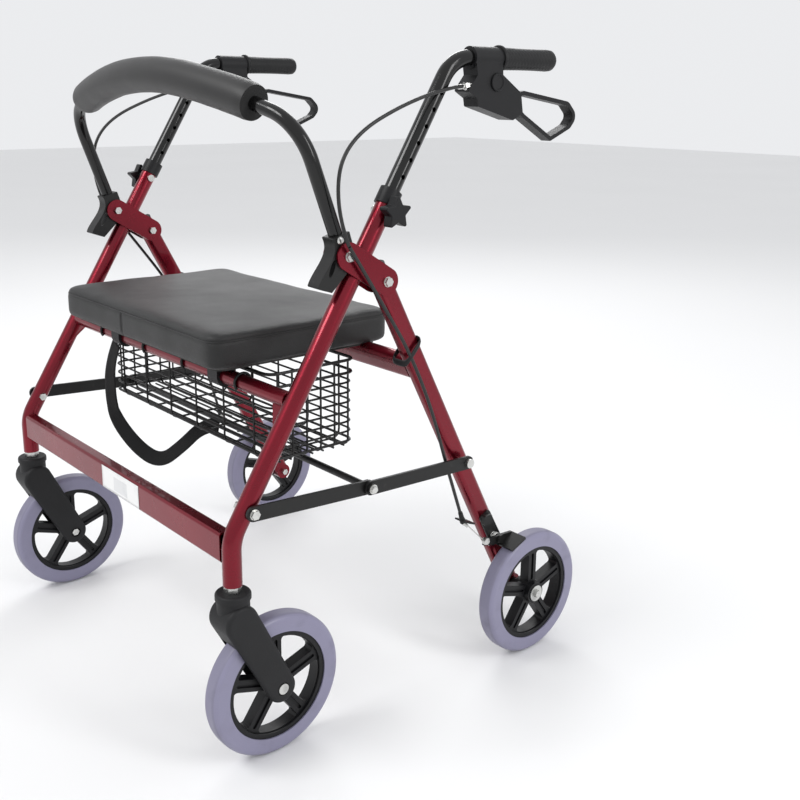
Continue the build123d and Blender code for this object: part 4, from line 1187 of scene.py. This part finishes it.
def make_brake_fittings(side, sign):
    """The cable's end at a rear wheel: its stop on a tab, the barrel, the wire's clamp and the spring."""
    stop = Vector((CABLE_STOP.x * sign, CABLE_STOP.y, CABLE_STOP.z))
    tip = Vector((ARM_TIP.x * sign, ARM_TIP.y, ARM_TIP.z))
    way = (tip - stop).normalized()
    run = Vector((0.0036 * sign, 0.017, -0.054)).normalized()
    shape = bmesh.new()
    turned(shape, CABLE_FERRULE, stop, run, 20)
    ferrule = make_piece("cable_end_" + side, shape, FINISHES["black_plastic"], 30)
    shape = bmesh.new()
    bmesh.ops.create_cube(shape, size=1)
    bmesh.ops.scale(shape, verts=shape.verts, vec=TAB_SIZE)
    bmesh.ops.bevel(
        shape, geom=shape.edges[:], offset=0.0006, offset_type="OFFSET", affect="EDGES",
        segments=2, profile=0.5, material=-1,
    )
    bmesh.ops.rotate(shape, verts=shape.verts, cent=(0, 0, 0), matrix=TAB_TILT)
    bmesh.ops.translate(shape, verts=shape.verts, vec=stop + Vector((-0.003 * sign, 0.008, -0.003)))
    tab = make_piece("cable_tab_" + side, shape, FINISHES["black_steel"], 30)
    shape = bmesh.new()
    turned(shape, CABLE_BARREL, stop + run * 0.002, way, 6)
    barrel = make_piece("cable_barrel_" + side, shape, FINISHES["zinc"], 25)
    shape = bmesh.new()
    run_tube(shape, [stop + way * 0.010, tip + way * 0.014], INNER_WIRE_R, sides=8)
    turned(shape, WIRE_CLAMP, tip + Vector((0.003 * sign, 0, 0.001)), (1, 0, 0), 6)
    clamp = make_piece("brake_wire_" + side, shape, FINISHES["zinc"], 25)
    shape = bmesh.new()
    spring = []
    for step in range(SPRING_STEPS + 1):
        share = step / SPRING_STEPS
        turn = share * SPRING_TURNS * 2 * math.pi
        x = (SPRING_X[0] + (SPRING_X[1] - SPRING_X[0]) * share) * sign
        y = SPRING_CENTRE[0] + SPRING_R * math.cos(turn)
        z = SPRING_CENTRE[1] + SPRING_R * math.sin(turn)
        spring.append(Vector((x, y, z)))
    run_tube(shape, spring, INNER_WIRE_R, sides=6)
    coil = make_piece("brake_spring_" + side, shape, FINISHES["zinc"], 60)
    for piece in (ferrule, tab, barrel, coil):
        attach(piece, "rear_frame")
    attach(clamp, "arm_" + side)


for side, sign in SIDES:
    make_bracket_bolt(side, sign)
    make_cable_clip(side, sign)
    make_link_nut(side, sign)
    make_brake_fittings(side, sign)


def make_label():
    """The blank sticker on the front of the lower crossbar."""
    low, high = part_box("lower_crossbar")
    face = low[1] - 0.0003
    shape = bmesh.new()
    bmesh.ops.create_grid(shape, x_segments=24, y_segments=8, size=0.5)
    width = LABEL_X[1] - LABEL_X[0]
    upright = Matrix.Rotation(math.pi / 2, 3, "X")
    bmesh.ops.scale(shape, verts=shape.verts, vec=(width, LABEL_HIGH, 1))
    bmesh.ops.rotate(shape, verts=shape.verts, cent=(0, 0, 0), matrix=upright)
    middle = Vector(((LABEL_X[0] + LABEL_X[1]) / 2, face, (low[2] + high[2]) / 2))
    bmesh.ops.translate(shape, verts=shape.verts, vec=middle)
    for vertex in shape.verts:
        vertex.co.y -= 0.00015 * (1 + noise.noise(vertex.co * 60))
    label = make_piece("blank_label", shape, label_film(), 80)
    thick = label.modifiers.new("thick", "SOLIDIFY")
    thick.thickness = LABEL_T
    keep_modifiers(label)
    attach(label, "front_frame")


make_label()


# ================= Studio =================
def soft_light(name, place, aim, size, power):
    light = bpy.data.lights.new(name, "AREA")
    light.shape = "RECTANGLE"
    light.size, light.size_y = size
    light.energy = power
    lamp = bpy.data.objects.new(name, light)
    lamp.location = place
    lamp.rotation_euler = (Vector(aim) - Vector(place)).to_track_quat("-Z", "Y").to_euler()
    scene.collection.objects.link(lamp)


MIDDLE = (0, 0, 0.5)
LIGHTS = (
    ("key", (-0.6, -2.6, 3.2), (1.8, 1.2), 62),
    ("side", (3.0, 0.9, 2.0), (0.8, 2.2), 34),
    ("back", (-2.4, 2.2, 2.6), (2.0, 1.0), 32),
)
SKY = (0.97, 0.98, 1.0, 1)
SKY_STRENGTH = 0.86


def make_studio():
    """A pale floor, a pale sky and three large soft lights."""
    shape = bmesh.new()
    bmesh.ops.create_grid(shape, x_segments=4, y_segments=4, size=14)
    floor = make_piece("floor", shape, floor_finish())
    world = bpy.data.worlds.new("studio")
    world.use_nodes = True
    backdrop = world.node_tree.nodes["Background"]
    backdrop.inputs["Color"].default_value = SKY
    backdrop.inputs["Strength"].default_value = SKY_STRENGTH
    scene.world = world
    for name, place, size, power in LIGHTS:
        soft_light(name, place, MIDDLE, size, power)


make_studio()
